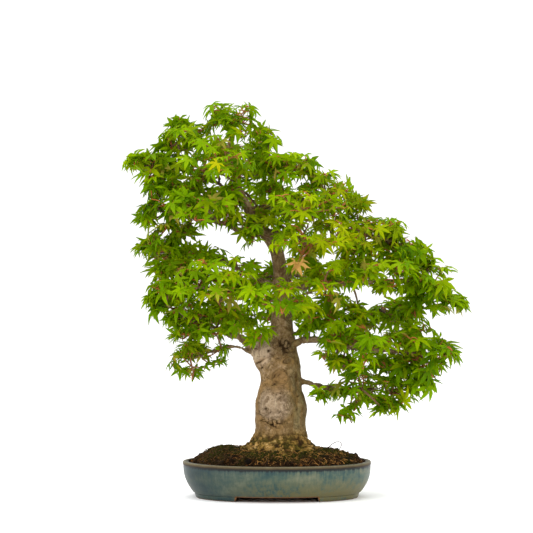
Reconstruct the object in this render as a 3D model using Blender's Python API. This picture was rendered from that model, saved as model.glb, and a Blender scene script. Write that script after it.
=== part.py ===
"""Japanese maple bonsai in a shallow oval glazed pot.

Metres, +Z up, with the front of the tree towards -Y.  The pot stands on z = 0, and
the whole tree is centred over the origin once every piece is made.

The pot, its drain screens and its tie wires take their sizes from the pot's own
dimensions.  The tree is drawn on a grid of shares: x in hundredths of TREE_SPREAD
from the pot's middle, y in hundredths of TREE_DEPTH (front is negative), z in
hundredths of TREE_RISE above the pot's rim.  Every piece is trimmed, with a small
gap, by the pieces made before it, so limbs sit on the trunk and the leaf pads sit
on their limbs.
"""

import math

import bmesh
import bpy
import numpy as np
from mathutils import Matrix, Vector, noise

# ------------------------------------------------------------ pot, in metres
POT_LENGTH = 0.340
POT_WIDTH = 0.250
POT_HEIGHT = 0.065
POT_WALL = 0.009
POT_FLOOR = 0.009
OVAL_POWER = 2.15  # 2 is an ellipse, more is squarer
LIP_HEIGHT = 0.006
LIP_DEPTH = 0.0015
BASE_INSET = 0.020  # how far the bowl draws in from the rim to its base
FOOT_HEIGHT = 0.0085
FOOT_STEP = 0.004  # the foot ring stands in from the bowl's base
FOOT_TAPER = 0.002
FOOT_THICKNESS = 0.014
FOOT_GAP_LENGTH = 0.150  # the cut through the ring at the front and the back
FOOT_GAP_SLOPE = 0.004
FOOT_GAP_ROOF = 0.0004
DRAIN_RADIUS = 0.010
DRAIN_SPACING = 0.110
WIRE_RADIUS = 0.0010
WIRE_HOLE_RADIUS = 0.0028
WIRE_HOLE_SPACING = 0.064
WIRE_WALL_DISTANCE = 0.041  # from the foot of the bowl's wall in to the wires

# ------------------------------------------------------- soil and what lies in it
SOIL_DROP = 0.004  # the soil's edge below the rim
MOUND_HEIGHT = 0.025
MOUND_POWER = 4.0
SOIL_ROUGHNESS = 0.0012
SCREEN_SIDE = 0.030
SCREEN_THICKNESS = 0.0016
SCREEN_HOLES = 4
SCREEN_BAR = 0.0018
MOSS_THICKNESS = 0.0045
WIRE_DROP = 0.004  # the wires' tops below the root base

# ----------------------------------------------------------------- tree, in metres
TREE_SPREAD = 0.617
TREE_DEPTH = 0.460
TREE_RISE = 0.6465
TRUNK_WIDTH = 0.094
TRUNK_FLATNESS = 0.90  # front to back, against left to right
ROOT_DEPTH = 0.016  # how far the root base reaches below the rim
ROOT_SWELL = 0.20
ROOT_ANGLES = (4, 48, 97, 143, 186, 226, 268, 318)  # degrees round the trunk
ROOT_ARC = 13.0

GAP = 0.0004  # clearance between pieces that touch
POT_SIDES = 48
TRUNK_SIDES = 18
LIMB_SIDES = 6
LIMB_STEPS = 2  # lengths of tube between two points of a limb's run
PAD_POINTS = 6  # leafy points round a pad
PAD_SCALLOP = 0.10

# (height above the rim, sway, girth as a share of TRUNK_WIDTH, lean front to back)
TRUNK_STATIONS = (
    (0.5, 0.4, 1.55, 0.0),
    (2.4, 0.7, 1.66, 0.0),
    (3.5, 0.8, 1.52, 0.0),
    (4.6, 0.8, 1.30, 0.0),
    (5.9, 0.8, 1.12, 0.0),
    (8.5, 1.0, 0.99, 0.0),
    (11.3, 0.95, 0.98, 0.0),
    (14.1, 1.1, 1.00, 0.0),
    (16.9, 0.95, 0.95, 0.0),
    (19.7, 1.15, 0.83, 0.0),
    (22.3, 1.2, 0.77, 0.0),
    (24.6, 0.9, 0.785, 0.0),
    (26.7, 0.2, 0.865, 0.0),
    (28.7, -0.15, 0.88, 0.0),
    (30.9, -0.2, 0.80, 0.0),
    (32.9, 0.3, 0.70, 0.1),
    (34.7, 0.9, 0.57, 0.2),
    (36.9, 1.3, 0.46, 0.3),
    (40.5, 1.4, 0.39, 0.5),
    (45.5, 1.4, 0.33, 0.7),
    (50.5, 1.2, 0.29, 0.9),
    (55.5, 0.6, 0.265, 1.0),
    (59.0, -0.3, 0.255, 1.0),
    (62.0, -2.0, 0.25, 0.8),
    (64.5, -4.3, 0.24, 0.5),
    (67.2, -6.7, 0.215, 0.2),
    (70.4, -8.5, 0.18, 0.0),
    (73.8, -10.2, 0.155, -0.4),
    (77.8, -11.8, 0.127, -0.8),
    (82.7, -13.4, 0.10, -1.2),
    (87.4, -14.2, 0.073, -1.4),
    (93.4, -12.4, 0.045, -1.2),
)

# name: (radius at the trunk, radius at the tip, the limb's run, and its forks)
LIMBS = {
    "limb_low_right": (
        0.0052, 0.0022,
        ((1.2, 0, 23.6), (7.5, 0, 22.4), (14, 1, 20.6), (20, 3, 19.2), (27, 5, 19.4), (33, 6, 20.8)),
        (((20, 3, 19.2), (22, -4, 19.6), (24, -10, 21)),),
    ),
    "limb_left_low": (
        0.0038, 0.0016,
        ((-0.3, 0, 29.2), (-7, -2, 30.4), (-12.3, -4, 32.2), (-18, -5, 30.8), (-25.5, -5, 28.4)),
        (),
    ),
    "limb_left": (
        0.0075, 0.0026,
        ((-0.3, 0, 31.2), (-6, -1, 32.3), (-12.3, -1, 34.6), (-17, -2, 36.4), (-25, -4, 39.6), (-32, -6, 44)),
        (((-12.3, -1, 34.6), (-13, 10, 36.6), (-14, 22, 38.2)),),
    ),
    "limb_right": (
        0.0068, 0.0026,
        ((0.6, 0, 32.2), (5.5, -2, 33.3), (11, -5, 33.8), (19.3, -8, 32.2), (30, -11, 31.4), (41, -8, 30.4)),
        (((19.3, -8, 32.2), (22, -17, 33), (25, -24, 33.4)),),
    ),
    "limb_right_back": (
        0.0052, 0.0022,
        ((0.8, 0, 34.2), (6, 5, 35.8), (15.5, 11, 38.2), (24, 14, 40.6), (31, 15, 42)),
        (((15.5, 11, 38.2), (19, 19, 35), (23, 26, 32.6)),),
    ),
    "limb_front": (
        0.0044, 0.0018,
        ((1.4, 0, 41.5), (1, -10, 43), (0, -20, 44.8), (-0.5, -31, 45.4)),
        (((1, -10, 43), (6, -15, 46), (14, -20, 48.6)),),
    ),
    "limb_left_front": (
        0.0048, 0.0018,
        ((1.4, 0, 44.6), (-3, -6, 45.4), (-10, -13, 47.2), (-19, -20, 48.6), (-27, -20, 48.4)),
        (),
    ),
    "limb_left_mid": (
        0.0046, 0.0018,
        ((1.3, 0, 47.6), (-7.3, 3, 51.3), (-15.8, 7, 55.6), (-22, 9, 56.8), (-29, 7, 57.6), (-36, 4, 58.2)),
        (),
    ),
    "limb_right_mid": (
        0.0056, 0.0020,
        (
            (1.3, 0, 48.2), (7, -3, 48.8), (13.2, -6, 49.6), (21.7, -9, 50),
            (29.3, -12, 50), (37, -10, 50.4), (44, -6, 50.6),
        ),
        (),
    ),
    "limb_back": (
        0.0048, 0.0018,
        ((0.8, 0, 53), (3, 12, 52.6), (8, 23, 51.4), (13, 33, 50.6)),
        (
            ((3, 12, 52.6), (-1, 24, 51.6), (-6, 34, 49.8)),
            ((3, 12, 52.6), (5, 22, 46.4), (5, 31, 40.8)),
        ),
    ),
    "limb_centre_front": (
        0.0044, 0.0018,
        ((-1.6, 0, 60.6), (1, -9, 60.4), (6, -19, 60.6), (10, -27, 61)),
        (((6, -19, 60.6), (8, -21, 64), (10, -22, 67.6)),),
    ),
    "limb_shoulder": (
        0.0056, 0.0018,
        ((-3.4, 0, 63.4), (3.8, -1, 63.4), (10.5, -1, 62), (18.5, 0, 61.4), (28.7, 0, 62.6), (39, 0, 59.8)),
        (),
    ),
    "limb_left_shelf": (
        0.0054, 0.0018,
        ((-4.6, 0, 64.9), (-10.6, -1, 64.8), (-17.6, -3, 66.6), (-24, -5, 67.6), (-32, -6, 69.4)),
        (
            ((-17.6, -3, 66.6), (-19, -12, 69), (-21, -19, 71)),
            ((-17.6, -3, 66.6), (-21, 8, 69.6), (-24, 17, 72)),
        ),
    ),
    "limb_back_upper": (
        0.0036, 0.0016,
        ((-6.9, 0, 67.6), (-4, 10, 69.4), (-1, 20, 71), (1, 29, 72)),
        (((-4, 10, 69.4), (-10, 14, 76), (-15, 16, 82)),),
    ),
    "limb_shoulder_upper": (
        0.0042, 0.0018,
        ((-8.3, 0, 70), (-2, -1, 71.4), (6, -2, 72.8), (16, -4, 73.4)),
        (),
    ),
    "limb_crown_left": (
        0.0036, 0.0015,
        ((-10.2, 0, 73.8), (-17, 1, 77.5), (-25, 2, 80.4), (-33, 4, 82.4)),
        (
            ((-25, 2, 80.4), (-28, -2, 86), (-30.2, -4, 91.4)),
            ((-17, 1, 77.5), (-17, -8, 79.6), (-17, -16, 81)),
        ),
    ),
    "limb_crown_right": (
        0.0030, 0.0014,
        ((-12, 0, 78.4), (-6, -1, 79.8), (3, -2, 81.4)),
        (),
    ),
}

# name: (middle, and half sizes), all as shares
PADS = {
    "leaves_apex": ((-12.9, 0, 94.9), (7.6, 14, 5.4)),
    "leaves_crown_top_left": ((-26.1, -4, 92.6), (6.4, 12, 5.0)),
    "leaves_crown_left": ((-33.4, 4, 81.8), (9.4, 15, 5.2)),
    "leaves_crown_front": ((-17.5, -16, 82), (12.4, 12, 6.4)),
    "leaves_crown_back": ((-10.6, 16, 84.4), (12, 12, 6.0)),
    "leaves_crown_right": ((3.5, -2, 81.8), (9.6, 16, 5.2)),
    "leaves_shoulder_inner": ((15, -4, 73.8), (9.0, 16, 5.2)),
    "leaves_back_upper": ((1, 29, 72), (12, 12, 5.4)),
    "leaves_shelf_back": ((-24, 17, 72.4), (10, 12, 5.0)),
    "leaves_shelf_front": ((-21, -19, 71.6), (10, 12, 4.8)),
    "leaves_shelf_left": ((-32.4, -4, 71), (9.6, 13, 5.2)),
    "leaves_shoulder": ((27.2, 0, 65.2), (9.2, 16, 5.4)),
    "leaves_front_upper": ((9.7, -22, 69), (10.5, 12, 5.0)),
    "leaves_shoulder_outer": ((36.8, 0, 58.7), (7.2, 14, 4.6)),
    "leaves_centre_shelf": ((10, -27, 61), (13.6, 13, 4.2)),
    "leaves_left_outer": ((-35, 4, 58), (7.4, 13, 5.2)),
    "leaves_left_mid": ((-22.5, 10, 57.8), (8.6, 14, 4.8)),
    "leaves_back_mid": ((-7, 34, 49.6), (12.5, 12, 5.0)),
    "leaves_right_mid": ((29.5, -12, 53), (12, 14, 5.4)),
    "leaves_right_outer": ((44.4, -5, 48.6), (7.6, 14, 7.0)),
    "leaves_back_right": ((14, 33, 51), (12, 12, 5.0)),
    "leaves_left_front": ((-19.5, -20, 49.4), (13.4, 14, 5.2)),
    "leaves_centre_right": ((14, -21, 49.4), (8.8, 12, 4.8)),
    "leaves_left_edge": ((-33, -6, 46.4), (6.6, 13, 5.8)),
    "leaves_front": ((-0.5, -32, 45.4), (10.4, 12, 5.6)),
    "leaves_back_right_low": ((34.4, 15, 40.8), (8.6, 13, 4.4)),
    "leaves_left": ((-20.8, -2, 39.4), (11.4, 15, 4.8)),
    "leaves_back_low": ((5, 32, 41), (12, 12, 4.8)),
    "leaves_back_left": ((-14, 24, 38.6), (11, 12, 4.4)),
    "leaves_right": ((25.8, -13, 33.2), (14.2, 15, 5.4)),
    "leaves_right_edge": ((44.2, -7, 29), (8.6, 14, 6.8)),
    "leaves_right_back": ((23, 26, 32.4), (10.5, 12, 4.6)),
    "leaves_left_sprig": ((-23, -5, 28), (8.8, 12, 6.2)),
    "leaves_lowest_right": ((28, 2, 19.4), (13.6, 16, 6.4)),
}

# name: (middle along and across the pot, half sizes), as shares of the soil's own
MOSS = {
    "moss_left": ((-0.60, -0.18), (0.17, 0.34)),
    "moss_right": ((0.66, -0.08), (0.15, 0.34)),
}

BRANCH_BARK = ("branch_bark", (0.12, 0.075, 0.042), 0.8)
MATERIALS = {
    "pot": ("glaze", (0.09, 0.13, 0.12), 0.3),
    "drain": ("screen_plastic", (0.02, 0.02, 0.02), 0.6),
    "tie": ("wire_aluminium", (0.35, 0.22, 0.14), 0.35),
    "soil": ("soil", (0.045, 0.025, 0.012), 0.95),
    "moss": ("moss", (0.045, 0.06, 0.01), 0.95),
    "trunk": ("trunk_bark", (0.31, 0.22, 0.13), 0.8),
    "limb": BRANCH_BARK,
    "leaves": ("leaves", (0.12, 0.20, 0.01), 0.55),
}

bonsai = None  # the empty that every piece hangs from
standing = []  # grown copies of what is already made, for later pieces to clear


# ------------------------------------------------------------------- helpers
def clear_scene():
    for thing in list(bpy.data.objects):
        bpy.data.objects.remove(thing, do_unlink=True)


def material_for(name):
    """The Principled material of the family that a node's name starts with."""
    label, colour, roughness = MATERIALS[name.split("_")[0]]
    found = bpy.data.materials.get(label)
    if found:
        return found
    made = bpy.data.materials.new(label)
    made.use_nodes = True
    shader = made.node_tree.nodes["Principled BSDF"]
    shader.inputs["Base Color"].default_value = (*colour, 1.0)
    shader.inputs["Roughness"].default_value = roughness
    shader.inputs["Metallic"].default_value = 1.0 if name.startswith("tie") else 0.0
    return made


def link(mesh_object):
    bpy.context.scene.collection.objects.link(mesh_object)
    mesh_object.parent = bonsai
    return mesh_object


def piece(name, mesh):
    """A named part of the bonsai, with its family's material."""
    mesh.shade_smooth()
    mesh.set_sharp_from_angle(angle=math.radians(40))
    mesh.materials.clear()
    mesh.materials.append(material_for(name))
    return link(bpy.data.objects.new(name, mesh))


def cutter(name, mesh):
    """A helper that shapes other pieces and isn't one itself."""
    helper = link(bpy.data.objects.new(name, mesh))
    helper.hide_render = True
    helper.display_type = "WIRE"
    return helper


def add_boolean(target, tool, operation="DIFFERENCE"):
    modifier = target.modifiers.new(tool.name, "BOOLEAN")
    modifier.operation = operation
    modifier.solver = "EXACT"
    modifier.object = tool


def box_of(thing):
    """The lowest and highest corner of an object's own mesh."""
    corners = np.array([corner[:] for corner in thing.bound_box])
    return corners.min(axis=0), corners.max(axis=0)


def near(first, second):
    low_a, high_a = box_of(first)
    low_b, high_b = box_of(second)
    return bool((low_a < high_b).all() and (low_b < high_a).all())


def clear_of_neighbours(target):
    """Trims a new piece by every earlier piece that its box meets."""
    for grown in standing:
        if near(target, grown):
            add_boolean(target, grown)


def lofted(name, loops, closed_ends=True):
    """A mesh through loops of equal length, with flat caps on both ends."""
    shape = bmesh.new()
    rows = [[shape.verts.new(point) for point in loop] for loop in loops]
    for lower, upper in zip(rows, rows[1:]):
        for i, corner in enumerate(lower):
            j = (i + 1) % len(lower)
            shape.faces.new((corner, lower[j], upper[j], upper[i]))
    if closed_ends:
        shape.faces.new(rows[0][::-1])
        shape.faces.new(rows[-1])
    bmesh.ops.recalc_face_normals(shape, faces=shape.faces)
    bmesh.ops.triangulate(shape, faces=shape.faces)
    mesh = bpy.data.meshes.new(name)
    shape.to_mesh(mesh)
    shape.free()
    return mesh


def block(name, size, middle):
    shape = bmesh.new()
    bmesh.ops.create_cube(shape, size=1.0)
    bmesh.ops.transform(
        shape, matrix=Matrix.Translation(middle) @ Matrix.Diagonal((*size, 1.0)), verts=shape.verts
    )
    mesh = bpy.data.meshes.new(name)
    shape.to_mesh(mesh)
    shape.free()
    return mesh


def rod(name, radius, low, high, x, y, sides=20):
    """A vertical round bar, for drilling holes."""
    shape = bmesh.new()
    bmesh.ops.create_cone(
        shape, cap_ends=True, segments=sides, radius1=radius, radius2=radius, depth=high - low
    )
    bmesh.ops.translate(shape, vec=(x, y, (low + high) / 2), verts=shape.verts)
    mesh = bpy.data.meshes.new(name)
    shape.to_mesh(mesh)
    shape.free()
    return mesh


def smooth_path(points, steps):
    """Catmull-Rom curve through points, with this many steps to each span."""
    ends = [points[0] * 2 - points[1], *points, points[-1] * 2 - points[-2]]
    found = []
    for a, b, c, d in zip(ends, ends[1:], ends[2:], ends[3:]):
        for step in range(steps):
            t = step / steps
            found.append(
                b + (c - a) * t / 2 + (a * 2 - b * 5 + c * 4 - d) * t * t / 2
                + (b * 3 - a - c * 3 + d) * t**3 / 2
            )
    return [*found, points[-1]]


def tube(name, path, radii, sides):
    """A curve with a round bevel and filled caps, made into a mesh."""
    curve = bpy.data.curves.new(name, "CURVE")
    curve.dimensions = "3D"
    curve.bevel_depth = 1.0
    curve.bevel_resolution = max(0, round((sides - 4) / 2))
    curve.use_fill_caps = True
    spline = curve.splines.new("POLY")
    spline.points.add(len(path) - 1)
    for spot, place, radius in zip(spline.points, path, radii):
        spot.co = (*place, 1.0)
        spot.radius = radius
    holder = link(bpy.data.objects.new(name, curve))
    bpy.context.view_layer.update()
    mesh = bpy.data.meshes.new_from_object(holder.evaluated_get(bpy.context.evaluated_depsgraph_get()))
    bpy.data.objects.remove(holder, do_unlink=True)
    bpy.data.curves.remove(curve)
    shape = bmesh.new()
    shape.from_mesh(mesh)
    bmesh.ops.remove_doubles(shape, verts=shape.verts, dist=1e-6)
    bmesh.ops.recalc_face_normals(shape, faces=shape.faces)
    bmesh.ops.triangulate(shape, faces=shape.faces)
    shape.to_mesh(mesh)
    shape.free()
    return mesh


# -------------------------------------------------------------- pot and soil
def oval(half_length, half_width, height, sides=POT_SIDES):
    """A level super-ellipse, as a loop of points."""
    loop = []
    for i in range(sides):
        turn = 2 * math.pi * i / sides
        c, s = math.cos(turn), math.sin(turn)
        x = math.copysign(abs(c) ** (2 / OVAL_POWER), c) * half_length
        y = math.copysign(abs(s) ** (2 / OVAL_POWER), s) * half_width
        loop.append(Vector((x, y, height)))
    return loop


def pot_loop(inset, height):
    """The pot's outline at a height, drawn in from the rim by inset."""
    return oval(POT_LENGTH / 2 - inset, POT_WIDTH / 2 - inset, height)


def wall_inset(height):
    """How far the bowl's outer wall stands in from the rim: a soft outward curve."""
    share = (height - FOOT_HEIGHT) / (POT_HEIGHT - LIP_HEIGHT - FOOT_HEIGHT)
    return LIP_DEPTH + (BASE_INSET - LIP_DEPTH) * (1 - min(share, 1.0)) ** 2


def inner_inset(height):
    return wall_inset(height) + POT_WALL


def inner_heights():
    """Levels of the bowl's inner wall, from under the lip down to the floor."""
    top, bottom = POT_HEIGHT - LIP_HEIGHT, FOOT_HEIGHT + POT_FLOOR
    return [top + (bottom - top) * step / 4 for step in range(5)]


def make_pot():
    floor_top = FOOT_HEIGHT + POT_FLOOR
    lip_foot = POT_HEIGHT - LIP_HEIGHT
    foot_top = BASE_INSET + FOOT_STEP
    foot_foot = foot_top + FOOT_TAPER
    ring_inside = foot_foot + FOOT_THICKNESS
    soften = LIP_HEIGHT / 4
    loops = [
        pot_loop(ring_inside + FOOT_TAPER, FOOT_HEIGHT),
        pot_loop(ring_inside, 0.0),
        pot_loop(foot_foot, 0.0),
        pot_loop(foot_top, FOOT_HEIGHT),
    ]
    for step in range(7):
        height = FOOT_HEIGHT + (lip_foot - FOOT_HEIGHT) * step / 6
        loops.append(pot_loop(wall_inset(height), height))
    loops += [
        pot_loop(0.0, lip_foot + soften),
        pot_loop(0.0, POT_HEIGHT - soften),
        pot_loop(soften, POT_HEIGHT),
        pot_loop(inner_inset(POT_HEIGHT) - soften, POT_HEIGHT),
        pot_loop(inner_inset(POT_HEIGHT), POT_HEIGHT - soften),
    ]
    loops += [pot_loop(inner_inset(height), height) for height in inner_heights()]
    pot = piece("pot", lofted("pot", loops))

    depth = POT_WIDTH + 0.02
    lower, upper = FOOT_GAP_LENGTH / 2, FOOT_GAP_LENGTH / 2 - FOOT_GAP_SLOPE
    roof = FOOT_HEIGHT - FOOT_GAP_ROOF
    side = [(-lower, -0.001), (lower, -0.001), (upper, roof), (-upper, roof)]
    ends = [[Vector((x, y, z)) for x, z in side] for y in (-depth / 2, depth / 2)]
    add_boolean(pot, cutter("cut_foot_gap", lofted("cut_foot_gap", ends)))
    for i, x in enumerate((-DRAIN_SPACING / 2, DRAIN_SPACING / 2)):
        hole = rod(f"cut_drain_{i}", DRAIN_RADIUS, 0.0, floor_top + 0.005, x, 0.0)
        add_boolean(pot, cutter(hole.name, hole))
    for i, (x, y) in enumerate(wire_holes()):
        hole = rod(f"cut_wire_hole_{i}", WIRE_HOLE_RADIUS, 0.0, floor_top + 0.005, x, y, 12)
        add_boolean(pot, cutter(hole.name, hole))


def wire_holes():
    reach = tie_reach()
    return [
        (x, y)
        for x in (-reach, reach)
        for y in (-WIRE_HOLE_SPACING / 2, WIRE_HOLE_SPACING / 2)
    ]


def soil_half(height):
    """The soil's half length and half width inside the pot at a height."""
    inset = inner_inset(height) + GAP
    return POT_LENGTH / 2 - inset, POT_WIDTH / 2 - inset


def soil_top(x, y):
    """Height of the soil: level at the rim, rising to a broad flat mound."""
    length, width = soil_half(POT_HEIGHT - SOIL_DROP)
    out = (abs(x / length) ** OVAL_POWER + abs(y / width) ** OVAL_POWER) ** (1 / OVAL_POWER)
    rise = MOUND_HEIGHT * max(0.0, 1 - out**MOUND_POWER)
    grain = noise.noise(Vector((x, y, 0)) * 45) * SOIL_ROUGHNESS * min(1.0, 6 * max(0.0, 1 - out))
    return POT_HEIGHT - SOIL_DROP + rise + grain


def make_soil(trimmers):
    high = POT_HEIGHT - SOIL_DROP
    floor, *walls = reversed(inner_heights())
    loops = [oval(*soil_half(floor), floor + GAP)]
    loops += [oval(*soil_half(height), height) for height in [*walls, high]]
    length, width = soil_half(high)
    for share in (0.93, 0.80, 0.62, 0.36):
        loop = oval(length * share, width * share, 0.0)
        loops.append([Vector((p.x, p.y, soil_top(p.x, p.y))) for p in loop])
    soil = piece("soil", lofted("soil", loops))
    for tool in trimmers:
        add_boolean(soil, tool)


def make_screens():
    """Plastic mesh over each drain hole, and the room that each takes in the soil."""
    rooms = []
    low = FOOT_HEIGHT + POT_FLOOR + GAP
    pitch = (SCREEN_SIDE - SCREEN_BAR) / SCREEN_HOLES
    window = pitch - SCREEN_BAR
    for side, x in (("left", -DRAIN_SPACING / 2), ("right", DRAIN_SPACING / 2)):
        middle = Vector((x, 0.0, low + SCREEN_THICKNESS / 2))
        screen = piece(
            f"drain_screen_{side}",
            block("drain_screen", (SCREEN_SIDE, SCREEN_SIDE, SCREEN_THICKNESS), middle),
        )
        for row in range(SCREEN_HOLES):
            for column in range(SCREEN_HOLES):
                across = (row - (SCREEN_HOLES - 1) / 2) * pitch
                along = (column - (SCREEN_HOLES - 1) / 2) * pitch
                name = f"cut_screen_{side}_{row}_{column}"
                size = (window, window, SCREEN_THICKNESS * 3)
                tool = cutter(name, block(name, size, middle + Vector((along, across, 0))))
                add_boolean(screen, tool)
        name = f"room_screen_{side}"
        size = (SCREEN_SIDE + 2 * GAP, SCREEN_SIDE + 2 * GAP, SCREEN_THICKNESS * 2 + 2 * GAP)
        rooms.append(cutter(name, block(name, size, Vector((x, 0.0, low)))))
    return rooms


def tie_reach():
    """How far out from the pot's middle the tie wires stand."""
    return POT_LENGTH / 2 - inner_inset(FOOT_HEIGHT + POT_FLOOR) - WIRE_WALL_DISTANCE


def make_ties():
    """Wires that go under the pot's floor, up through it and over the root mat."""
    rooms = []
    under = FOOT_HEIGHT - WIRE_RADIUS - GAP
    over = POT_HEIGHT - ROOT_DEPTH - WIRE_DROP
    half = WIRE_HOLE_SPACING / 2
    top_bend = 0.006
    low_bend = WIRE_HOLE_RADIUS - GAP
    for side, x in (("left", -tie_reach()), ("right", tie_reach())):
        run = [(0.004, over), (half - top_bend, over), (half, over - top_bend)]
        run += [(half, under + low_bend)]
        run += [(half - low_bend * 0.3, under + low_bend * 0.3), (half - low_bend, under)]
        spots = [Vector((x, -y, z)) for y, z in run]
        spots += [Vector((x, y, z)) for y, z in reversed(run)]
        piece(f"tie_wire_{side}", tube("tie_wire", spots, [WIRE_RADIUS] * len(spots), 8))
        name = f"room_wire_{side}"
        grown = [spots[0] + Vector((0, GAP, 0)), *spots[1:-1], spots[-1] - Vector((0, GAP, 0))]
        rooms.append(cutter(name, tube(name, grown, [WIRE_RADIUS + GAP] * len(spots), 8)))
    return rooms


def make_moss(trunk_room):
    """Thin cushions that lie on the soil and stop short of the trunk."""
    length, width = soil_half(POT_HEIGHT - SOIL_DROP)
    sides = 14
    for name, ((along, across), (half_x, half_y)) in MOSS.items():
        under, over = [], []
        for share in (1.0, 0.75, 0.4):
            low_loop, high_loop = [], []
            for i in range(sides):
                turn = 2 * math.pi * i / sides
                ragged = share * (1 + 0.08 * math.sin(3 * turn + 5 * along))
                x = length * (along + half_x * ragged * math.cos(turn))
                y = width * (across + half_y * ragged * math.sin(turn))
                ground = soil_top(x, y) + 2 * GAP
                low_loop.append(Vector((x, y, ground)))
                thick = MOSS_THICKNESS * (0.35 + 0.65 * (1 - share**3))
                high_loop.append(Vector((x, y, ground + thick)))
            under.append(low_loop)
            over.append(high_loop)
        cushion = piece(name, lofted(name, [*reversed(under), *over]))
        add_boolean(cushion, trunk_room)


# ---------------------------------------------------------------------- tree
def spot(x, y, z):
    """A point of the tree's grid, in metres."""
    return Vector((x * TREE_SPREAD, y * TREE_DEPTH, z * TREE_RISE)) / 100 + Vector((0, 0, POT_HEIGHT))


def root_profile(turn, height):
    """Radius multiplier round the trunk: ridges at the roots, gone above the flare."""
    flare = 1 / (1 + math.exp((height - 5.2) / 0.9))
    ridges = 0.0
    for angle in ROOT_ANGLES:
        away = (math.degrees(turn) - angle + 180) % 360 - 180
        ridges = max(ridges, math.exp(-((away / ROOT_ARC) ** 2)))
    return 1 + ROOT_SWELL * flare * (ridges - 0.45)


def trunk_mesh(name, grow=0.0):
    """Rings square to the leader's line, with the girth of each station."""
    base_share = -ROOT_DEPTH / TREE_RISE * 100
    stations = [(base_share, 0.4, 1.35, 0.0), *TRUNK_STATIONS]
    line = [spot(sway, lean, height) for height, sway, _, lean in stations]
    line[0].z -= grow
    line[-1].z += grow
    loops = []
    for i, (height, _, girth, _) in enumerate(stations):
        ahead = line[min(i + 1, len(line) - 1)] - line[max(i - 1, 0)]
        ahead = Vector((0, 0, 1)) if height < 34 else ahead.normalized()
        right = Vector((0, 1, 0)).cross(ahead).normalized()
        back = ahead.cross(right)
        loop = []
        for side in range(TRUNK_SIDES):
            turn = 2 * math.pi * side / TRUNK_SIDES
            radius = TRUNK_WIDTH / 2 * girth * root_profile(turn, height) + grow
            deep = radius * (TRUNK_FLATNESS if height < 40 else 1.0)
            loop.append(line[i] + right * radius * math.cos(turn) + back * deep * math.sin(turn))
        loops.append(loop)
    return lofted(name, loops)


def run_of(points, radius_base, radius_tip, grow):
    """Centreline and radii of one run, thick at its start."""
    path = smooth_path([spot(*point) for point in points], LIMB_STEPS)
    last = len(path) - 1
    radii = [
        radius_tip + (radius_base - radius_tip) * (1 - i / last) ** 0.8 + grow for i in range(last + 1)
    ]
    path[-1] = path[-1] + (path[-1] - path[-2]).normalized() * grow
    return path, radii


def make_limb(name, radius_base, radius_tip, main, forks):
    """A limb, with its forks joined on, cut to sit on the trunk."""
    limb = piece(name, tube(name, *run_of(main, radius_base, radius_tip, 0.0), LIMB_SIDES))
    rooms = []
    for i, fork in enumerate(forks):
        fork_radius = radius_base * 0.62
        label = f"fork_{name}_{i}"
        arm = tube(label, *run_of(fork, fork_radius, radius_tip * 0.9, 0.0), LIMB_SIDES)
        add_boolean(limb, cutter(label, arm), "UNION")
        label = f"room_{name}_{i}"
        arm = tube(label, *run_of(fork, fork_radius, radius_tip * 0.9, GAP), LIMB_SIDES)
        rooms.append(cutter(label, arm))
    bpy.context.view_layer.update()
    clear_of_neighbours(limb)
    label = f"room_{name}"
    rooms.append(cutter(label, tube(label, *run_of(main, radius_base, radius_tip, GAP), LIMB_SIDES)))
    standing.extend(rooms)


def pad_mesh(name, middle, half, grow=0.0):
    """A flattened dome with leafy points round its edge, fuller above than below."""
    centre = spot(*middle)
    reach = Vector((half[0] * TREE_SPREAD, half[1] * TREE_DEPTH, half[2] * TREE_RISE)) / 100
    sides = 2 * PAD_POINTS
    loops = []
    for slope in (-68, -24, 10, 44, 74):
        out, up = math.cos(math.radians(slope)), math.sin(math.radians(slope))
        up *= 1.0 if up > 0 else 0.72
        loop = []
        for i in range(sides):
            turn = 2 * math.pi * (i + 0.5) / sides
            point = 1 + PAD_SCALLOP * out * (1 if i % 2 else -1)
            lump = 1 + 0.10 * noise.noise(Vector((math.cos(turn), math.sin(turn), up)) + centre * 40)
            x = (reach.x * point * lump + grow) * out * math.cos(turn)
            y = (reach.y * point * lump + grow) * out * math.sin(turn)
            loop.append(centre + Vector((x, y, (reach.z * lump + grow) * up)))
        loops.append(loop)
    return lofted(name, loops)


def make_pad(name, middle, half):
    pad = piece(name, pad_mesh(name, middle, half))
    bpy.context.view_layer.update()
    clear_of_neighbours(pad)
    standing.append(cutter(f"room_{name}", pad_mesh(f"room_{name}", middle, half, GAP)))


def centre_over_origin():
    """Moves the tree's empty so that the whole object's box is centred on x and y."""
    bpy.context.view_layer.update()
    lows, highs = [], []
    for thing in bpy.data.objects:
        if thing.type == "MESH" and not thing.hide_render:
            low, high = box_of(thing)
            lows.append(low)
            highs.append(high)
    middle = (np.min(lows, axis=0) + np.max(highs, axis=0)) / 2
    bonsai.location = (-middle[0], -middle[1], 0.0)
    bpy.context.view_layer.update()


def main():
    global bonsai
    clear_scene()
    bonsai = bpy.data.objects.new("bonsai", None)
    bpy.context.scene.collection.objects.link(bonsai)

    make_pot()
    rooms = make_screens() + make_ties()
    piece("trunk", trunk_mesh("trunk"))
    trunk_room = cutter("room_trunk", trunk_mesh("room_trunk", GAP))
    make_soil([*rooms, trunk_room])
    make_moss(trunk_room)

    standing.append(trunk_room)
    for name, (radius_base, radius_tip, run, forks) in LIMBS.items():
        make_limb(name, radius_base, radius_tip, run, forks)
    for name, (middle, half) in PADS.items():
        make_pad(name, middle, half)
    centre_over_origin()


main()
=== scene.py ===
"""The look of the maple bonsai: glazed pot, soil, moss, bark, twigs and leaves, built
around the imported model.

Every piece is a surface worked out with numpy in the model's own frame, in metres.
"""

import math

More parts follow.
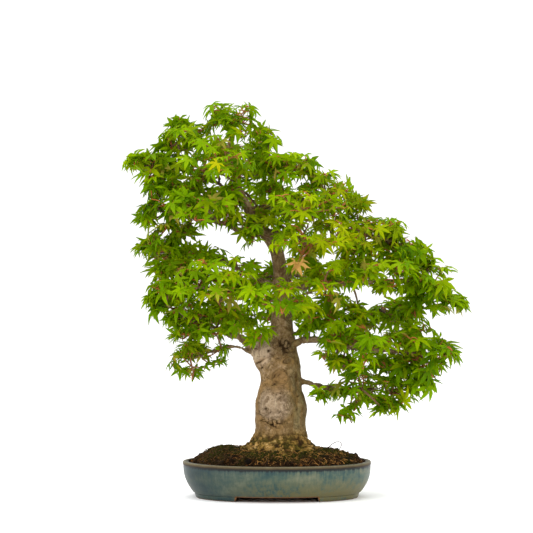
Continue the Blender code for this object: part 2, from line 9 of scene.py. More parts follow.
import bpy
import numpy as np
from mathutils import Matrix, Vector


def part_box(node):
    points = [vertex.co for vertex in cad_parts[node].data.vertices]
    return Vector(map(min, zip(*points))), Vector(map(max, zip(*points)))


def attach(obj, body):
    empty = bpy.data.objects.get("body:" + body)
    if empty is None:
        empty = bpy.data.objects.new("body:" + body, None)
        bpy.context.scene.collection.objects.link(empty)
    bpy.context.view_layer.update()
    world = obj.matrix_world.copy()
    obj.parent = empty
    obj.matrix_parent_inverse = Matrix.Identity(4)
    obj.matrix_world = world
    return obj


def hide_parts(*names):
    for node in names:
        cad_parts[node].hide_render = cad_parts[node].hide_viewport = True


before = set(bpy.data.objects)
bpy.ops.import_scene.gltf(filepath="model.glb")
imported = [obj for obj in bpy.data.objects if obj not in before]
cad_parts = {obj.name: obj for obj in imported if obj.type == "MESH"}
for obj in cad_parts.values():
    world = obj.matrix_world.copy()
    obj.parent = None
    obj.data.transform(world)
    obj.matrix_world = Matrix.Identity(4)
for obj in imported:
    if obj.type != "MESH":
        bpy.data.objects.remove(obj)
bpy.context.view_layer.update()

# ------------------------------------------------------------------ sizes
POT_LOW, POT_HIGH = (np.array(corner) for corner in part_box("pot"))
MIDDLE = (POT_LOW + POT_HIGH) / 2
UNDER = MIDDLE * (1, 1, 0)  # the spot on the floor below the pot's middle
HALF_LENGTH, HALF_WIDTH, POT_TOP = (POT_HIGH - POT_LOW) * (0.5, 0.5, 1.0)
OVAL_POWER = 2.15
WALL = 0.009
FLOOR = 0.009
LIP_HEIGHT = 0.006
LIP_DEPTH = 0.0006
BASE_INSET = 0.02
FOOT_HEIGHT = 0.0085
FOOT_STEP = 0.004
FOOT_TAPER = 0.002
FOOT_THICKNESS = 0.014
FOOT_GAP = 0.075
FOOT_GAP_SLOPE = 0.004

SOIL_EDGE = POT_TOP - 0.004
SOIL_INSET = LIP_DEPTH + WALL + 0.0004
MOUND = 0.025
TREE = np.array((0.617, 0.46, 0.6465)) / 100
TRUNK_RADIUS = 0.047
TRUNK_FLATNESS = 0.9
WOOD_GRID = 0.00174  # the step of the even mesh that joins the wood
ROOT_ANGLES = (4, 48, 97, 143, 186, 226, 268, 318)

# height above the rim, sway, girth, lean: all shares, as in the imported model
TRUNK = np.array(
    (
        (-2.5, 0.4, 1.35, 0.0), (0.5, 0.4, 1.55, 0.0), (2.4, 0.7, 1.64, 0.0), (3.5, 0.8, 1.48, 0.0),
        (4.6, 0.8, 1.27, 0.0), (5.9, 0.8, 1.1, 0.0), (8.5, 1.0, 0.99, 0.0), (11.3, 0.95, 0.98, 0.0),
        (14.1, 1.1, 1.00, 0.0), (16.9, 0.95, 0.95, 0.0), (19.7, 1.15, 0.83, 0.0), (22.3, 1.2, 0.77, 0.0),
        (24.6, 0.9, 0.785, 0.0), (26.7, 0.2, 0.865, 0.0), (28.7, -0.15, 0.88, 0.0), (30.9, -0.2, 0.8, 0.0),
        (32.9, 0.3, 0.7, 0.1), (34.7, 0.9, 0.57, 0.2), (36.9, 1.3, 0.46, 0.3), (40.5, 1.4, 0.39, 0.5),
        (45.5, 1.4, 0.33, 0.7), (50.5, 1.2, 0.29, 0.9), (55.5, 0.6, 0.265, 1.0), (59.0, -0.3, 0.255, 1.0),
        (62.0, -2.0, 0.25, 0.8), (64.5, -4.3, 0.24, 0.5), (67.2, -6.7, 0.215, 0.2), (70.4, -8.5, 0.18, 0.0),
        (73.8, -10.2, 0.155, -0.4), (77.8, -11.8, 0.127, -0.8), (82.7, -13.4, 0.1, -1.2),
        (87.4, -14.2, 0.073, -1.4), (93.4, -12.4, 0.045, -1.2),
    )
)

# each run: radius at its start, radius at its end, and the points it goes through
RUNS = (
    (5.2, 2.2, (
        (1.2, 0, 23.6), (7.5, 0, 22.4), (14, 1, 20.6), (20, 3, 19.2), (27, 5, 19.4), (33, 6, 20.8),
    )),
    (3.0, 1.6, ((20, 3, 19.2), (22, -4, 19.6), (24, -10, 21))),
    (3.8, 1.6, (
        (-0.3, 0, 29.2), (-7, -2, 30.4), (-12.3, -4, 32.2), (-18, -5, 30.8), (-25.5, -5, 28.4),
    )),
    (7.5, 2.6, (
        (-0.3, 0, 31.2), (-6, -1, 32.3), (-12.3, -1, 34.6), (-17, -2, 36.4), (-25, -4, 39.6),
        (-32, -6, 44),
    )),
    (4.4, 1.8, ((-12.3, -1, 34.6), (-13, 10, 36.6), (-14, 22, 38.2))),
    (6.8, 2.6, (
        (0.6, 0, 32.2), (5.5, -2, 33.3), (11, -5, 33.8), (19.3, -8, 32.2), (30, -11, 31.4),
        (41, -8, 30.4),
    )),
    (3.9, 1.7, ((19.3, -8, 32.2), (22, -17, 33), (25, -24, 33.4))),
    (5.2, 2.2, ((0.8, 0, 34.2), (6, 5, 35.8), (15.5, 11, 38.2), (24, 14, 40.6), (31, 15, 42))),
    (3.2, 1.6, ((15.5, 11, 38.2), (19, 19, 35), (23, 26, 32.6))),
    (4.4, 1.8, ((1.4, 0, 41.5), (1, -10, 43), (0, -20, 44.8), (-0.5, -31, 45.4))),
    (2.8, 1.4, ((1, -10, 43), (6, -15, 46), (14, -20, 48.6))),
    (4.8, 1.8, ((1.4, 0, 44.6), (-3, -6, 45.4), (-10, -13, 47.2), (-19, -20, 48.6), (-27, -20, 48.4))),
    (4.6, 1.8, (
        (1.3, 0, 47.6), (-7.3, 3, 51.3), (-15.8, 7, 55.6), (-22, 9, 56.8), (-29, 7, 57.6),
        (-36, 4, 58.2),
    )),
    (5.6, 2.0, (
        (1.3, 0, 48.2), (7, -3, 48.8), (13.2, -6, 49.6), (21.7, -9, 50), (29.3, -12, 50),
        (37, -10, 50.4), (44, -6, 50.6),
    )),
    (4.8, 1.8, ((0.8, 0, 53), (3, 12, 52.6), (8, 23, 51.4), (13, 33, 50.6))),
    (3.0, 1.4, ((3, 12, 52.6), (-1, 24, 51.6), (-6, 34, 49.8))),
    (3.0, 1.4, ((3, 12, 52.6), (5, 22, 46.4), (5, 31, 40.8))),
    (4.4, 1.8, ((-1.6, 0, 60.6), (1, -9, 60.4), (6, -19, 60.6), (10, -27, 61))),
    (2.7, 1.4, ((6, -19, 60.6), (8, -21, 64), (10, -22, 67.6))),
    (5.6, 1.8, (
        (-3.4, 0, 63.4), (3.8, -1, 63.4), (10.5, -1, 62), (18.5, 0, 61.4), (28.7, 0, 62.6),
        (39, 0, 59.8),
    )),
    (5.4, 1.8, (
        (-4.6, 0, 64.9), (-10.6, -1, 64.8), (-17.6, -3, 66.6), (-24, -5, 67.6), (-32, -6, 69.4),
    )),
    (3.4, 1.5, ((-17.6, -3, 66.6), (-19, -12, 69), (-21, -19, 71))),
    (3.4, 1.5, ((-17.6, -3, 66.6), (-21, 8, 69.6), (-24, 17, 72))),
    (3.6, 1.6, ((-6.9, 0, 67.6), (-4, 10, 69.4), (-1, 20, 71), (1, 29, 72))),
    (2.3, 1.3, ((-4, 10, 69.4), (-10, 14, 76), (-15, 16, 82))),
    (4.2, 1.8, ((-8.3, 0, 70), (-2, -1, 71.4), (6, -2, 72.8), (16, -4, 73.4))),
    (3.6, 1.5, ((-10.2, 0, 73.8), (-17, 1, 77.5), (-25, 2, 80.4), (-33, 4, 82.4))),
    (2.3, 1.3, ((-25, 2, 80.4), (-28, -2, 86), (-30.2, -4, 91.4))),
    (2.3, 1.3, ((-17, 1, 77.5), (-17, -8, 79.6), (-17, -16, 81))),
    (3.0, 1.4, ((-12, 0, 78.4), (-6, -1, 79.8), (3, -2, 81.4))),
)

# small sprigs that fill in between the pads: the middle's three shares, then the half sizes'
SPRIGS = {
    "crown": (
        (-35.4, -2, 77.2, 4.4, 9, 3.0), (-27.5, -6, 77, 5, 9, 3), (-11, -14, 77.5, 5, 8, 3.4),
        (-2.5, 4, 82.4, 5, 9, 3.4), (2.3, -4, 73.5, 4.6, 8, 3), (-3.6, 2, 91.2, 4.6, 8, 2.6),
        (-32.6, -2, 88, 3.8, 7, 2.6), (-28.9, -3, 94.6, 2.2, 4, 2.4), (-2.9, 2, 76.5, 3.8, 8, 2.0),
        (-12.9, -8, 73.2, 3.2, 7, 2.5), (-3.1, -6, 67.6, 2.5, 7, 1.7), (12.3, 0, 79.2, 3.2, 9, 1.8),
        (-23.7, -6, 88.5, 4.1, 8, 2.2), (-22.3, -8, 78.1, 3.2, 8, 1.8), (-41.3, -2, 83.7, 2.9, 3, 1.8),
    ),
    "left_shelf": (
        (-9.6, -9, 64.6, 5.6, 9, 4.2), (-33.5, -6, 65, 4.6, 8, 2.8), (-14, -8, 68, 4.4, 8, 3),
        (-27.7, -4, 65.3, 3.4, 8, 1.7), (-7.3, -12, 62.5, 3.5, 6, 1.7), (-39.3, -4, 67.8, 2.6, 7, 1.7),
    ),
    "shoulder": (
        (16, 6, 66.4, 6, 9, 3.2), (24, -10, 59.6, 6, 9, 3), (32.5, 6, 62, 5, 9, 3),
        (24.6, 2, 71.4, 4.6, 8, 2.8),
    ),
    "centre": (
        (2.6, -6, 67.0, 6.0, 9, 3.4), (7.5, -14, 55, 5.6, 9, 3.2), (9.5, -12, 41.5, 5, 8, 3),
        (15.4, -8, 44.8, 5.6, 8, 2.6), (-5.8, -14, 36, 3.2, 6, 2.4), (-8.6, -12, 55.2, 5.4, 8, 2.6),
    ),
    "left_side": (
        (-34.8, -2, 53.6, 4.4, 9, 3), (-28, -8, 53.6, 5.2, 9, 3), (-17, -12, 44.6, 6, 9, 2.8),
        (-27, -4, 35, 5.4, 8, 3), (-17.5, -10, 36, 5.6, 8, 2.6), (-34.3, -4, 43.2, 2.3, 6, 1.4),
        (-26.1, -8, 44.2, 3.5, 8, 1.8), (-30.9, -2, 38.1, 1.9, 5, 1.5), (-25.1, -8, 29.4, 4.0, 7, 2.4),
    ),
    "right_side": (
        (12.6, -10, 29.6, 3.4, 7, 2.6), (50, -4, 45, 4.2, 8, 2.6), (24.4, -6, 16, 4.2, 6, 2.6),
        (11.9, -8, 18.5, 2.5, 4, 1.5), (31.7, -4, 49.5, 2.6, 8, 3.8), (43.4, -2, 54.6, 2.6, 6, 1.3),
        (22.9, -6, 43.9, 3.5, 8, 2.1), (20.7, -8, 12.2, 0.7, 2, 1.7), (30.5, -8, 15.8, 2.6, 5, 2.0),
        (53.5, -3, 43.2, 1.6, 4, 1.4), (9.5, -2, 36.8, 3.7, 7, 2.0), (17.6, -4, 28.4, 3.2, 7, 2.0),
        (41.0, -4, 21.4, 3.8, 7, 1.7), (39.5, -2, 43.4, 5, 8, 3), (41, -6, 36.4, 5.2, 8, 2.8),
        (37, -6, 25.6, 5.6, 8, 3), (43.2, -4, 23.6, 4.2, 7, 2.6), (17, -8, 39.4, 5.4, 8, 2.6),
        (19, -8, 27, 4.4, 7, 3), (25, -6, 39, 5, 8, 2.2), (31.8, -8, 27.6, 4.6, 8, 2.6),
    ),
}
# middles and half sizes, across and up, of the gaps where no leaf grows
OPENINGS = (
    (-31.9, 98.9, 1.6, 2.8), (-23.7, 98.9, 3.3, 2.8), (3.5, 94.0, 3.6, 5.2), (13.5, 86.4, 3.6, 3.6),
    (23.9, 80.4, 4.4, 3.1), (35.0, 69.9, 5.1, 3.3), (46.6, 62.0, 3.3, 3.4), (51.6, 49.5, 2.3, 2.0),
    (56.1, 46.3, 2.5, 1.6), (55.7, 39.7, 2.6, 2.0), (48.7, 37.4, 3.0, 2.8), (38.4, 13.2, 2.6, 3.6),
    (24.3, 9.8, 3.3, 2.0), (9.1, 29.2, 2.0, 2.8), (-17.3, 61.7, 5.9, 2.2), (-7.6, 57.2, 4.3, 2.5),
    (-38.4, 50.1, 2.6, 3.0), (-40.4, 72.6, 2.3, 1.6), (-33.4, 31.9, 2.3, 4.2), (-17.0, 23.1, 3.0, 3.1),
    (30.0, 44.5, 4.1, 1.7), (8.9, 17.5, 1.5, 3.8), (16.1, 14.1, 3.3, 2.5), (11.7, 23.8, 1.6, 1.4),
    (-41.6, 78.5, 2.3, 1.3), (-28.0, 101.4, 6.1, 1.9),
)
# the leaf pads that each foliage piece stands for
FOLIAGE = {
    "crown": ("apex", "crown_top_left", "crown_left", "crown_front", "crown_back", "crown_right"),
    "left_shelf": ("shelf_left", "shelf_front", "shelf_back"),
    "shoulder": ("shoulder_inner", "shoulder", "shoulder_outer", "front_upper", "back_upper"),
    "centre": ("centre_shelf", "centre_right", "front"),
    "left_side": ("left_outer", "left_mid", "left_front", "left_edge", "left", "left_sprig"),
    "right_side": ("right_mid", "right_outer", "right", "right_edge", "lowest_right"),
    "back": ("back_mid", "back_right", "back_right_low", "back_low", "back_left", "right_back"),
}


# ------------------------------------------------------------- numbers and fields
def spot(points):
    """Grid shares to metres: each share times its step, from the middle of the pot's rim."""
    return np.asarray(points, float) * TREE + UNDER + (0, 0, POT_TOP)


def grain(at, size, seed=0):
    """Smooth noise from -1 to 1: seeded random numbers on a cubic lattice of the given size,
    blended from corner to corner by 3t² - 2t³."""
    table = np.random.default_rng(seed).uniform(-1, 1, (32, 32, 32))
    place = np.asarray(at) / size + 1000.5
    cell = np.floor(place).astype(int)
    t = place - cell
    t = t * t * (3 - 2 * t)
    total = 0.0
    for i in (0, 1):
        for j in (0, 1):
            for k in (0, 1):
                corner = (cell + (i, j, k)) & 31
                weight = (
                    (t[..., 0] if i else 1 - t[..., 0])
                    * (t[..., 1] if j else 1 - t[..., 1])
                    * (t[..., 2] if k else 1 - t[..., 2])
                )
                total = total + weight * table[corner[..., 0], corner[..., 1], corner[..., 2]]
    return total


def wander(at, size, seed):
    """Three smooth noises, from this seed and the next two, as a sideways shift."""
    return np.stack([grain(at, size, seed + i) for i in range(3)], axis=-1)


def ridges(at, size, seed=0):
    """Sharp-crested noise from 0 to 1: one less the size of smooth noise, squared."""
    return (1 - np.abs(grain(at, size, seed))) ** 2


def curve(keys, values, at):
    """Hermite curve through values at keys, with the slope at each key taken from its neighbours."""
    keys, values, at = np.asarray(keys, float), np.asarray(values, float), np.asarray(at, float)
    slopes = np.gradient(values, keys, axis=0)
    left = np.clip(np.searchsorted(keys, at, side="right") - 1, 0, len(keys) - 2)
    step = keys[left + 1] - keys[left]
    t = (at - keys[left]) / step
    if values.ndim > 1:
        t, step = t[..., None], step[..., None]
    return (
        (2 * t**3 - 3 * t**2 + 1) * values[left]
        + (t**3 - 2 * t**2 + t) * step * slopes[left]
        + (3 * t**2 - 2 * t**3) * values[left + 1]
        + (t**3 - t**2) * step * slopes[left + 1]
    )


def unit(vectors):
    return vectors / np.maximum(np.linalg.norm(vectors, axis=-1, keepdims=True), 1e-9)


def soft_step(value, low, high):
    """0 below low, 1 above high, and 3t² - 2t³ between."""
    t = np.clip((value - low) / (high - low), 0, 1)
    return t * t * (3 - 2 * t)


def hump(distance, width):
    """Bell curve: e to the minus (distance / width) squared."""
    return np.exp(-((distance / width) ** 2))


# --------------------------------------------------------------------- meshes
def mesh_of(name, points, faces):
    """A mesh from an array of points and a list of arrays of faces, one per number of sides."""
    mesh = bpy.data.meshes.new(name)
    faces = [np.asarray(group, np.int32) for group in faces if len(group)]
    corners = np.concatenate([group.ravel() for group in faces])
    sides = np.concatenate([np.full(len(group), group.shape[1]) for group in faces])
    starts = np.concatenate([[0], np.cumsum(sides)[:-1]]).astype(np.int32)
    mesh.vertices.add(len(points))
    mesh.vertices.foreach_set("co", np.asarray(points, np.float32).ravel())
    mesh.loops.add(len(corners))
    mesh.loops.foreach_set("vertex_index", corners)
    mesh.polygons.add(len(sides))
    mesh.polygons.foreach_set("loop_start", starts)
    mesh.update(calc_edges=True)
    mesh.polygons.foreach_set("use_smooth", np.ones(len(sides), bool))
    return mesh


def skin(grid):
    """Points and faces of a closed surface: quads between neighbours of a grid of rows and
    columns, the last column joined to the first, and triangles that close the first and the
    last row to their means."""
    rows, columns = grid.shape[:2]
    ids = np.arange(rows * columns).reshape(rows, columns)
    after = np.roll(ids, -1, axis=1)
    quads = np.stack((ids[:-1], after[:-1], after[1:], ids[1:]), axis=-1).reshape(-1, 4)
    points = np.concatenate((grid.reshape(-1, 3), grid[[0, -1]].mean(axis=1)))
    first, last = (np.full(columns, rows * columns + i) for i in (0, 1))
    caps = ((after[0], ids[0], first), (ids[-1], after[-1], last))
    triangles = np.concatenate([np.stack(cap, axis=-1) for cap in caps])
    return points, outward(points, [quads, triangles])


def outward(points, faces):
    """The same faces, turned over if the volume that they enclose is negative."""
    volume = 0.0
    for group in faces:
        a, b, c = (points[group[:, i]] for i in (0, 1, 2))
        volume += np.einsum("ij,ij->", a, np.cross(b, c))
        if group.shape[1] == 4:
            volume += np.einsum("ij,ij->", a, np.cross(c, points[group[:, 3]]))
    return faces if volume > 0 else [group[:, ::-1] for group in faces]


def merged(parts):
    """Several surfaces as one list of points and faces."""
    points, quads, triangles, offset = [], [], [], 0
    for found, faces in parts:
        for group in faces:
            (quads if group.shape[1] == 4 else triangles).append(group + offset)
        points.append(found)
        offset += len(found)
    return np.concatenate(points), [np.concatenate(g) for g in (quads, triangles) if g]


def tubes(paths, radii, sides=5):
    """Closed round tubes: circles of the given radii, square to each path, carried along it.
    paths is tubes by points by 3, radii is tubes by points."""
    count, steps = paths.shape[:2]
    along = unit(np.gradient(paths, axis=1))
    guide = np.where(np.abs(along[..., 2:]) > 0.85, (1.0, 0.0, 0.0), (0.0, 0.0, 1.0))
    guide = np.broadcast_to(guide[:, :1], along.shape)
    right = unit(np.cross(along, guide))
    up = np.cross(right, along)
    turn = np.linspace(0, 2 * np.pi, sides, endpoint=False)
    ring = right[:, :, None] * np.cos(turn)[:, None] + up[:, :, None] * np.sin(turn)[:, None]
    grid = paths[:, :, None] + ring * radii[..., None, None]
    points = grid.reshape(-1, 3)
    ids = np.arange(len(points)).reshape(count, steps, sides)
    after = np.roll(ids, -1, axis=2)
    quads = np.stack((ids[:, :-1], ids[:, 1:], after[:, 1:], after[:, :-1]), axis=-1).reshape(-1, 4)
    tips = len(points) + np.arange(2 * count).reshape(2, count, 1)
    points = np.concatenate((points, paths[:, 0], paths[:, -1]))
    start = np.stack((ids[:, 0], after[:, 0], np.broadcast_to(tips[0], ids[:, 0].shape)), axis=-1)
    end = np.stack((after[:, -1], ids[:, -1], np.broadcast_to(tips[1], ids[:, 0].shape)), axis=-1)
    return points, [quads[:, ::-1], np.concatenate((start, end)).reshape(-1, 3)[:, ::-1]]


def tapering(paths, first, last, sides):
    """Tubes whose radii fall evenly from first to last."""
    return tubes(paths, np.linspace(first, last, paths.shape[1]) * np.ones((len(paths), 1)), sides)


def bent(starts, ends, sag, steps, seed):
    """Paths from starts to ends: a straight run plus a sideways bow of t(1 - t), with seeded
    directions, that lifts or sags by the given share of the length."""
    rng = np.random.default_rng(seed)
    t = np.linspace(0, 1, steps)[None, :, None]
    span = ends - starts
    length = np.linalg.norm(span, axis=-1, keepdims=True)
    bow = rng.normal(0, 0.35, span.shape) * length
    bow[:, 2:] += sag * length * 4
    return starts[:, None] + span[:, None] * t + bow[:, None] * t * (1 - t)


def add_values(mesh, **values):
    """Numbers on the vertices, for the materials to read: one for each, or one for all."""
    for name, numbers in values.items():
        numbers = np.resize(np.asarray(numbers, np.float32), len(mesh.vertices))
        mesh.attributes.new(name, "FLOAT", "POINT").data.foreach_set("value", numbers)


def standing(name, data):
    """An object in the scene for a mesh, a lamp or a camera."""
    made = bpy.data.objects.new(name, data)
    bpy.context.scene.collection.objects.link(made)
    return made


def piece(mesh, finish, slot, *nodes, **values):
    """A finished piece of the bonsai: it rides with the model and stands for its nodes."""
    add_values(mesh, **values)
    mesh.materials.append(finish)
    made = standing(mesh.name, mesh)
    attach(made, "root")
    if nodes:
        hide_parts(*nodes)


# ------------------------------------------------------------------ shader maths
class Value:
    """One shader socket. Arithmetic on it adds Math nodes to its material."""

    def __init__(self, finish, socket):
        self.finish = finish
        self.socket = socket

    def maths(self, operation, *others, clamp=False):
        settings = {"operation": operation, "use_clamp": clamp}
        made = self.finish.node("ShaderNodeMath", settings, self, *others)
        return Value(self.finish, made.outputs[0])

    def __add__(self, other):
        return self.maths("ADD", other)

    def __sub__(self, other):
        return self.maths("SUBTRACT", other)

    def __rsub__(self, other):
        return self.maths("MULTIPLY_ADD", -1.0, other)

    def __mul__(self, other):
        return self.maths("MULTIPLY", other)

    def __truediv__(self, other):
        return self.maths("DIVIDE", other)

    __radd__ = __add__
    __rmul__ = __mul__

    def between(self, low, high):
        """0 at low, 1 at high, straight between and held outside."""
        return ((self - low) / (high - low)).maths("ADD", 0.0, clamp=True)


class Finish:
    """A procedural material on one Principled shader."""

    def __init__(self, name, **sockets):
        self.material = bpy.data.materials.new(name)
        self.material.use_nodes = True
        self.tree = self.material.node_tree
        self.shader = self.tree.nodes["Principled BSDF"]
        self.set(**sockets)
        self.place = self.node("ShaderNodeTexCoord").outputs["Object"]

    def set(self, **sockets):
        """Shader sockets by name, with _ for a space: a Value is linked, a number is stored."""
        for name, value in sockets.items():
            self.connect(value, self.shader.inputs[name.replace("_", " ")])

    def connect(self, value, socket):
        if isinstance(value, Value):
            self.tree.links.new(value.socket, socket)
        elif isinstance(value, bpy.types.NodeSocket):
            self.tree.links.new(value, socket)
        elif socket.type == "RGBA":
            socket.default_value = (*value, 1.0)
        else:
            socket.default_value = value

    def node(self, kind, settings=None, *values, **named):
        """Adds a node: its settings first, then its sockets by order or by name."""
        made = self.tree.nodes.new(kind)
        for key, setting in (settings or {}).items():
            setattr(made, key, setting)
        for value, socket in zip(values, made.inputs):
            self.connect(value, socket)
        for key, value in named.items():
            self.connect(value, made.inputs[key.replace("_", " ")])
        return made

    def attribute(self, name):
        return Value(self, self.node("ShaderNodeAttribute", {"attribute_name": name}).outputs["Fac"])

    def stretched(self, x, y, z):
        """Object coordinates with each axis multiplied."""
        made = self.node("ShaderNodeVectorMath", {"operation": "MULTIPLY"}, self.place, (x, y, z))
        return made.outputs["Vector"]

    def axis(self, index):
        made = self.node("ShaderNodeSeparateXYZ", None, self.place)
        return Value(self, made.outputs[index])

    def noise(self, size, detail=3.0, rough=0.55, warp=0.0, place=None):
        """Cloudy noise from 0 to 1, with features of the given size in metres."""
        made = self.node(
            "ShaderNodeTexNoise", None, Vector=place or self.place, Scale=1 / size, Detail=detail,
            Roughness=rough, Distortion=warp,
        )
        return Value(self, made.outputs["Fac"])

    def cells(self, size):
        """Distance from the nearest of many scattered points."""
        made = self.node("ShaderNodeTexVoronoi", None, Vector=self.place, Scale=1 / size)
        return Value(self, made.outputs["Distance"])

    def blend(self, factor, first, second, kind="MIX"):
        """A mix of two colours."""
        made = self.node("ShaderNodeMix", {"data_type": "RGBA", "blend_type": kind})
        colours = [socket for socket in made.inputs if socket.type == "RGBA"]
        self.connect(factor, made.inputs[0])
        self.connect(first, colours[0])
        self.connect(second, colours[1])
        return Value(self, next(socket for socket in made.outputs if socket.type == "RGBA"))

    def ramp(self, value, *stops):
        """A colour for a value: each stop is a position and its red, green and blue."""
        made = self.node("ShaderNodeValToRGB", None, value)
        elements = made.color_ramp.elements
        while len(elements) < len(stops):
            elements.new(0.5)
        for element, (position, *colour) in zip(elements, stops):
            element.position = position
            element.color = (*colour, 1.0)
        return Value(self, made.outputs["Color"])

    def bump(self, height, distance, strength=1.0):
        made = self.node("ShaderNodeBump", None, Strength=strength, Distance=distance, Height=height)
        return Value(self, made.outputs["Normal"])


# ------------------------------------------------------------------------ pot
def oval(inset, turn, share=1.0, height=None):
    """Super-ellipse: each half size less the inset, times the share, times |cos| or |sin| to
    the power 2/OVAL_POWER, signed. With a height it gives points, without it x and y."""
    c, s = np.cos(turn), np.sin(turn)
    x = np.sign(c) * np.abs(c) ** (2 / OVAL_POWER) * ((HALF_LENGTH - inset) * share) + MIDDLE[0]
    y = np.sign(s) * np.abs(s) ** (2 / OVAL_POWER) * ((HALF_WIDTH - inset) * share) + MIDDLE[1]
    return (x, y) if height is None else np.stack((x, y, np.broadcast_to(height, x.shape)), axis=-1)


def bowl_wall(height):
    """The outer wall's inset from the rim: the lip's depth plus the base's, times (1 - t)^2.4."""
    share = np.clip((height - FOOT_HEIGHT) / (POT_TOP - LIP_HEIGHT - FOOT_HEIGHT), 0, 1)
    return LIP_DEPTH + (BASE_INSET - LIP_DEPTH) * (1 - share) ** 2.4


def pot_glaze():
    finish = Finish("blue_green_glaze", Specular_IOR_Level=0.2, Coat_Roughness=0.2)
    height = finish.axis(2)
    runs = finish.noise(0.0048, 4.0, 0.6, place=finish.stretched(1, 1, 0.1))
    cloud = finish.noise(0.06, 3.0, 0.5, 0.5, place=finish.stretched(0.8, 0.8, 2.2))
    mottle = finish.noise(0.011, 5.0, 0.65)
    speck = finish.noise(0.0016, 2.0, 0.6)
    body = finish.ramp(
        cloud * 0.38 + mottle * 0.36 + runs * 0.26,
        (0.38, 0.02, 0.054, 0.06),
        (0.46, 0.046, 0.082, 0.074),
        (0.54, 0.082, 0.106, 0.08),
        (0.64, 0.132, 0.145, 0.105),
    )
    across = finish.axis(0).between(MIDDLE[0] - 0.15, MIDDLE[0] + 0.16)
    # darker at the left end and brighter at the right: painted shade on the left and a painted sheen on the
    # right, with the glaze's own shift of hue
    tint_and_painted_light = finish.ramp(
        across + cloud * 0.2 - 0.1,
        (0.0, 0.3, 0.38, 0.4), (0.22, 0.56, 0.66, 0.68), (0.5, 0.9, 0.92, 0.8), (1.0, 1.42, 1.25, 1.08),
    )
    body = finish.blend(1.0, body, tint_and_painted_light, "MULTIPLY")
    low = (1 - height.between(0.014, 0.044)) * (cloud * 0.6 + runs * 0.6).between(0.46, 0.64)
    body = finish.blend(low * across.between(0.15, 0.5) * 0.85, body, (0.115, 0.098, 0.03))
    stain = finish.noise(0.014, 3.0, 0.6, place=finish.stretched(1, 1, 0.5)).between(0.6, 0.72)
    body = finish.blend(stain * (1 - height.between(0.014, 0.034)) * 0.6, body, (0.035, 0.04, 0.02))
    below_top = POT_TOP - height
    drips = 1 - (below_top + (runs - 0.5) * 0.022 + (mottle - 0.5) * 0.008).between(0.0075, 0.015)
    body = finish.blend(drips * (0.66 - across * 0.2), body, (0.014, 0.036, 0.044))
    # a dark line of painted shade just under the lip
    line = 1 - (below_top + (runs - 0.5) * 0.008).between(0.0076, 0.01)
    body = finish.blend(line * 0.95, body, (0.006, 0.008, 0.009))
    rim = 1 - (below_top + (mottle - 0.5) * 0.003).between(0.005, 0.0064)
    dust = finish.attribute("top")
    # the lip's own brown, with a painted highlight along its top edge and painted shade darkening towards
    # its underside
    rim_colour_and_painted_light = finish.ramp(
        below_top * 100 + (mottle - 0.5) * 0.3,
        (0.02, 0.17, 0.15, 0.09), (0.14, 0.11, 0.086, 0.044), (0.36, 0.055, 0.038, 0.017),
        (0.54, 0.012, 0.01, 0.006),
    )
    rim_colour_and_painted_light = finish.blend(dust * (0.55 + mottle * 0.7), rim_colour_and_painted_light, (0.07, 0.048, 0.022))
    body = finish.blend(rim, body, rim_colour_and_painted_light)
    off = (finish.axis(0) - MIDDLE[0]).maths("ABSOLUTE")
    cut = off.between(FOOT_GAP - 0.0055, FOOT_GAP - 0.0035)
    cut = cut * (1 - off.between(FOOT_GAP - 0.0005, FOOT_GAP + 0.001))
    above = 1 - height.between(FOOT_HEIGHT + 0.0012, FOOT_HEIGHT + 0.0026)
    above = above * (1 - off.between(FOOT_GAP - 0.003, FOOT_GAP))
    bare = (cut * (1 - height.between(FOOT_HEIGHT, FOOT_HEIGHT + 0.0015))).maths("MAXIMUM", above)
    bare = bare.maths("MAXIMUM", 1 - height.between(0.0003, 0.0016))
    body = finish.blend(bare * 0.95, body, (0.17, 0.07, 0.016))
    body = finish.blend(speck.between(0.62, 0.72) * 0.35, body, (0.02, 0.018, 0.012))
    finish.set(
        Base_Color=body,
        Roughness=0.36 + mottle * 0.16 + rim * 0.16,
        Coat_Weight=0.14 * (1 - rim * 0.9),
        Normal=finish.bump(mottle * 0.5 + speck * 0.2 + runs * 0.3, 0.0006, 0.5),
    )
    return finish.material


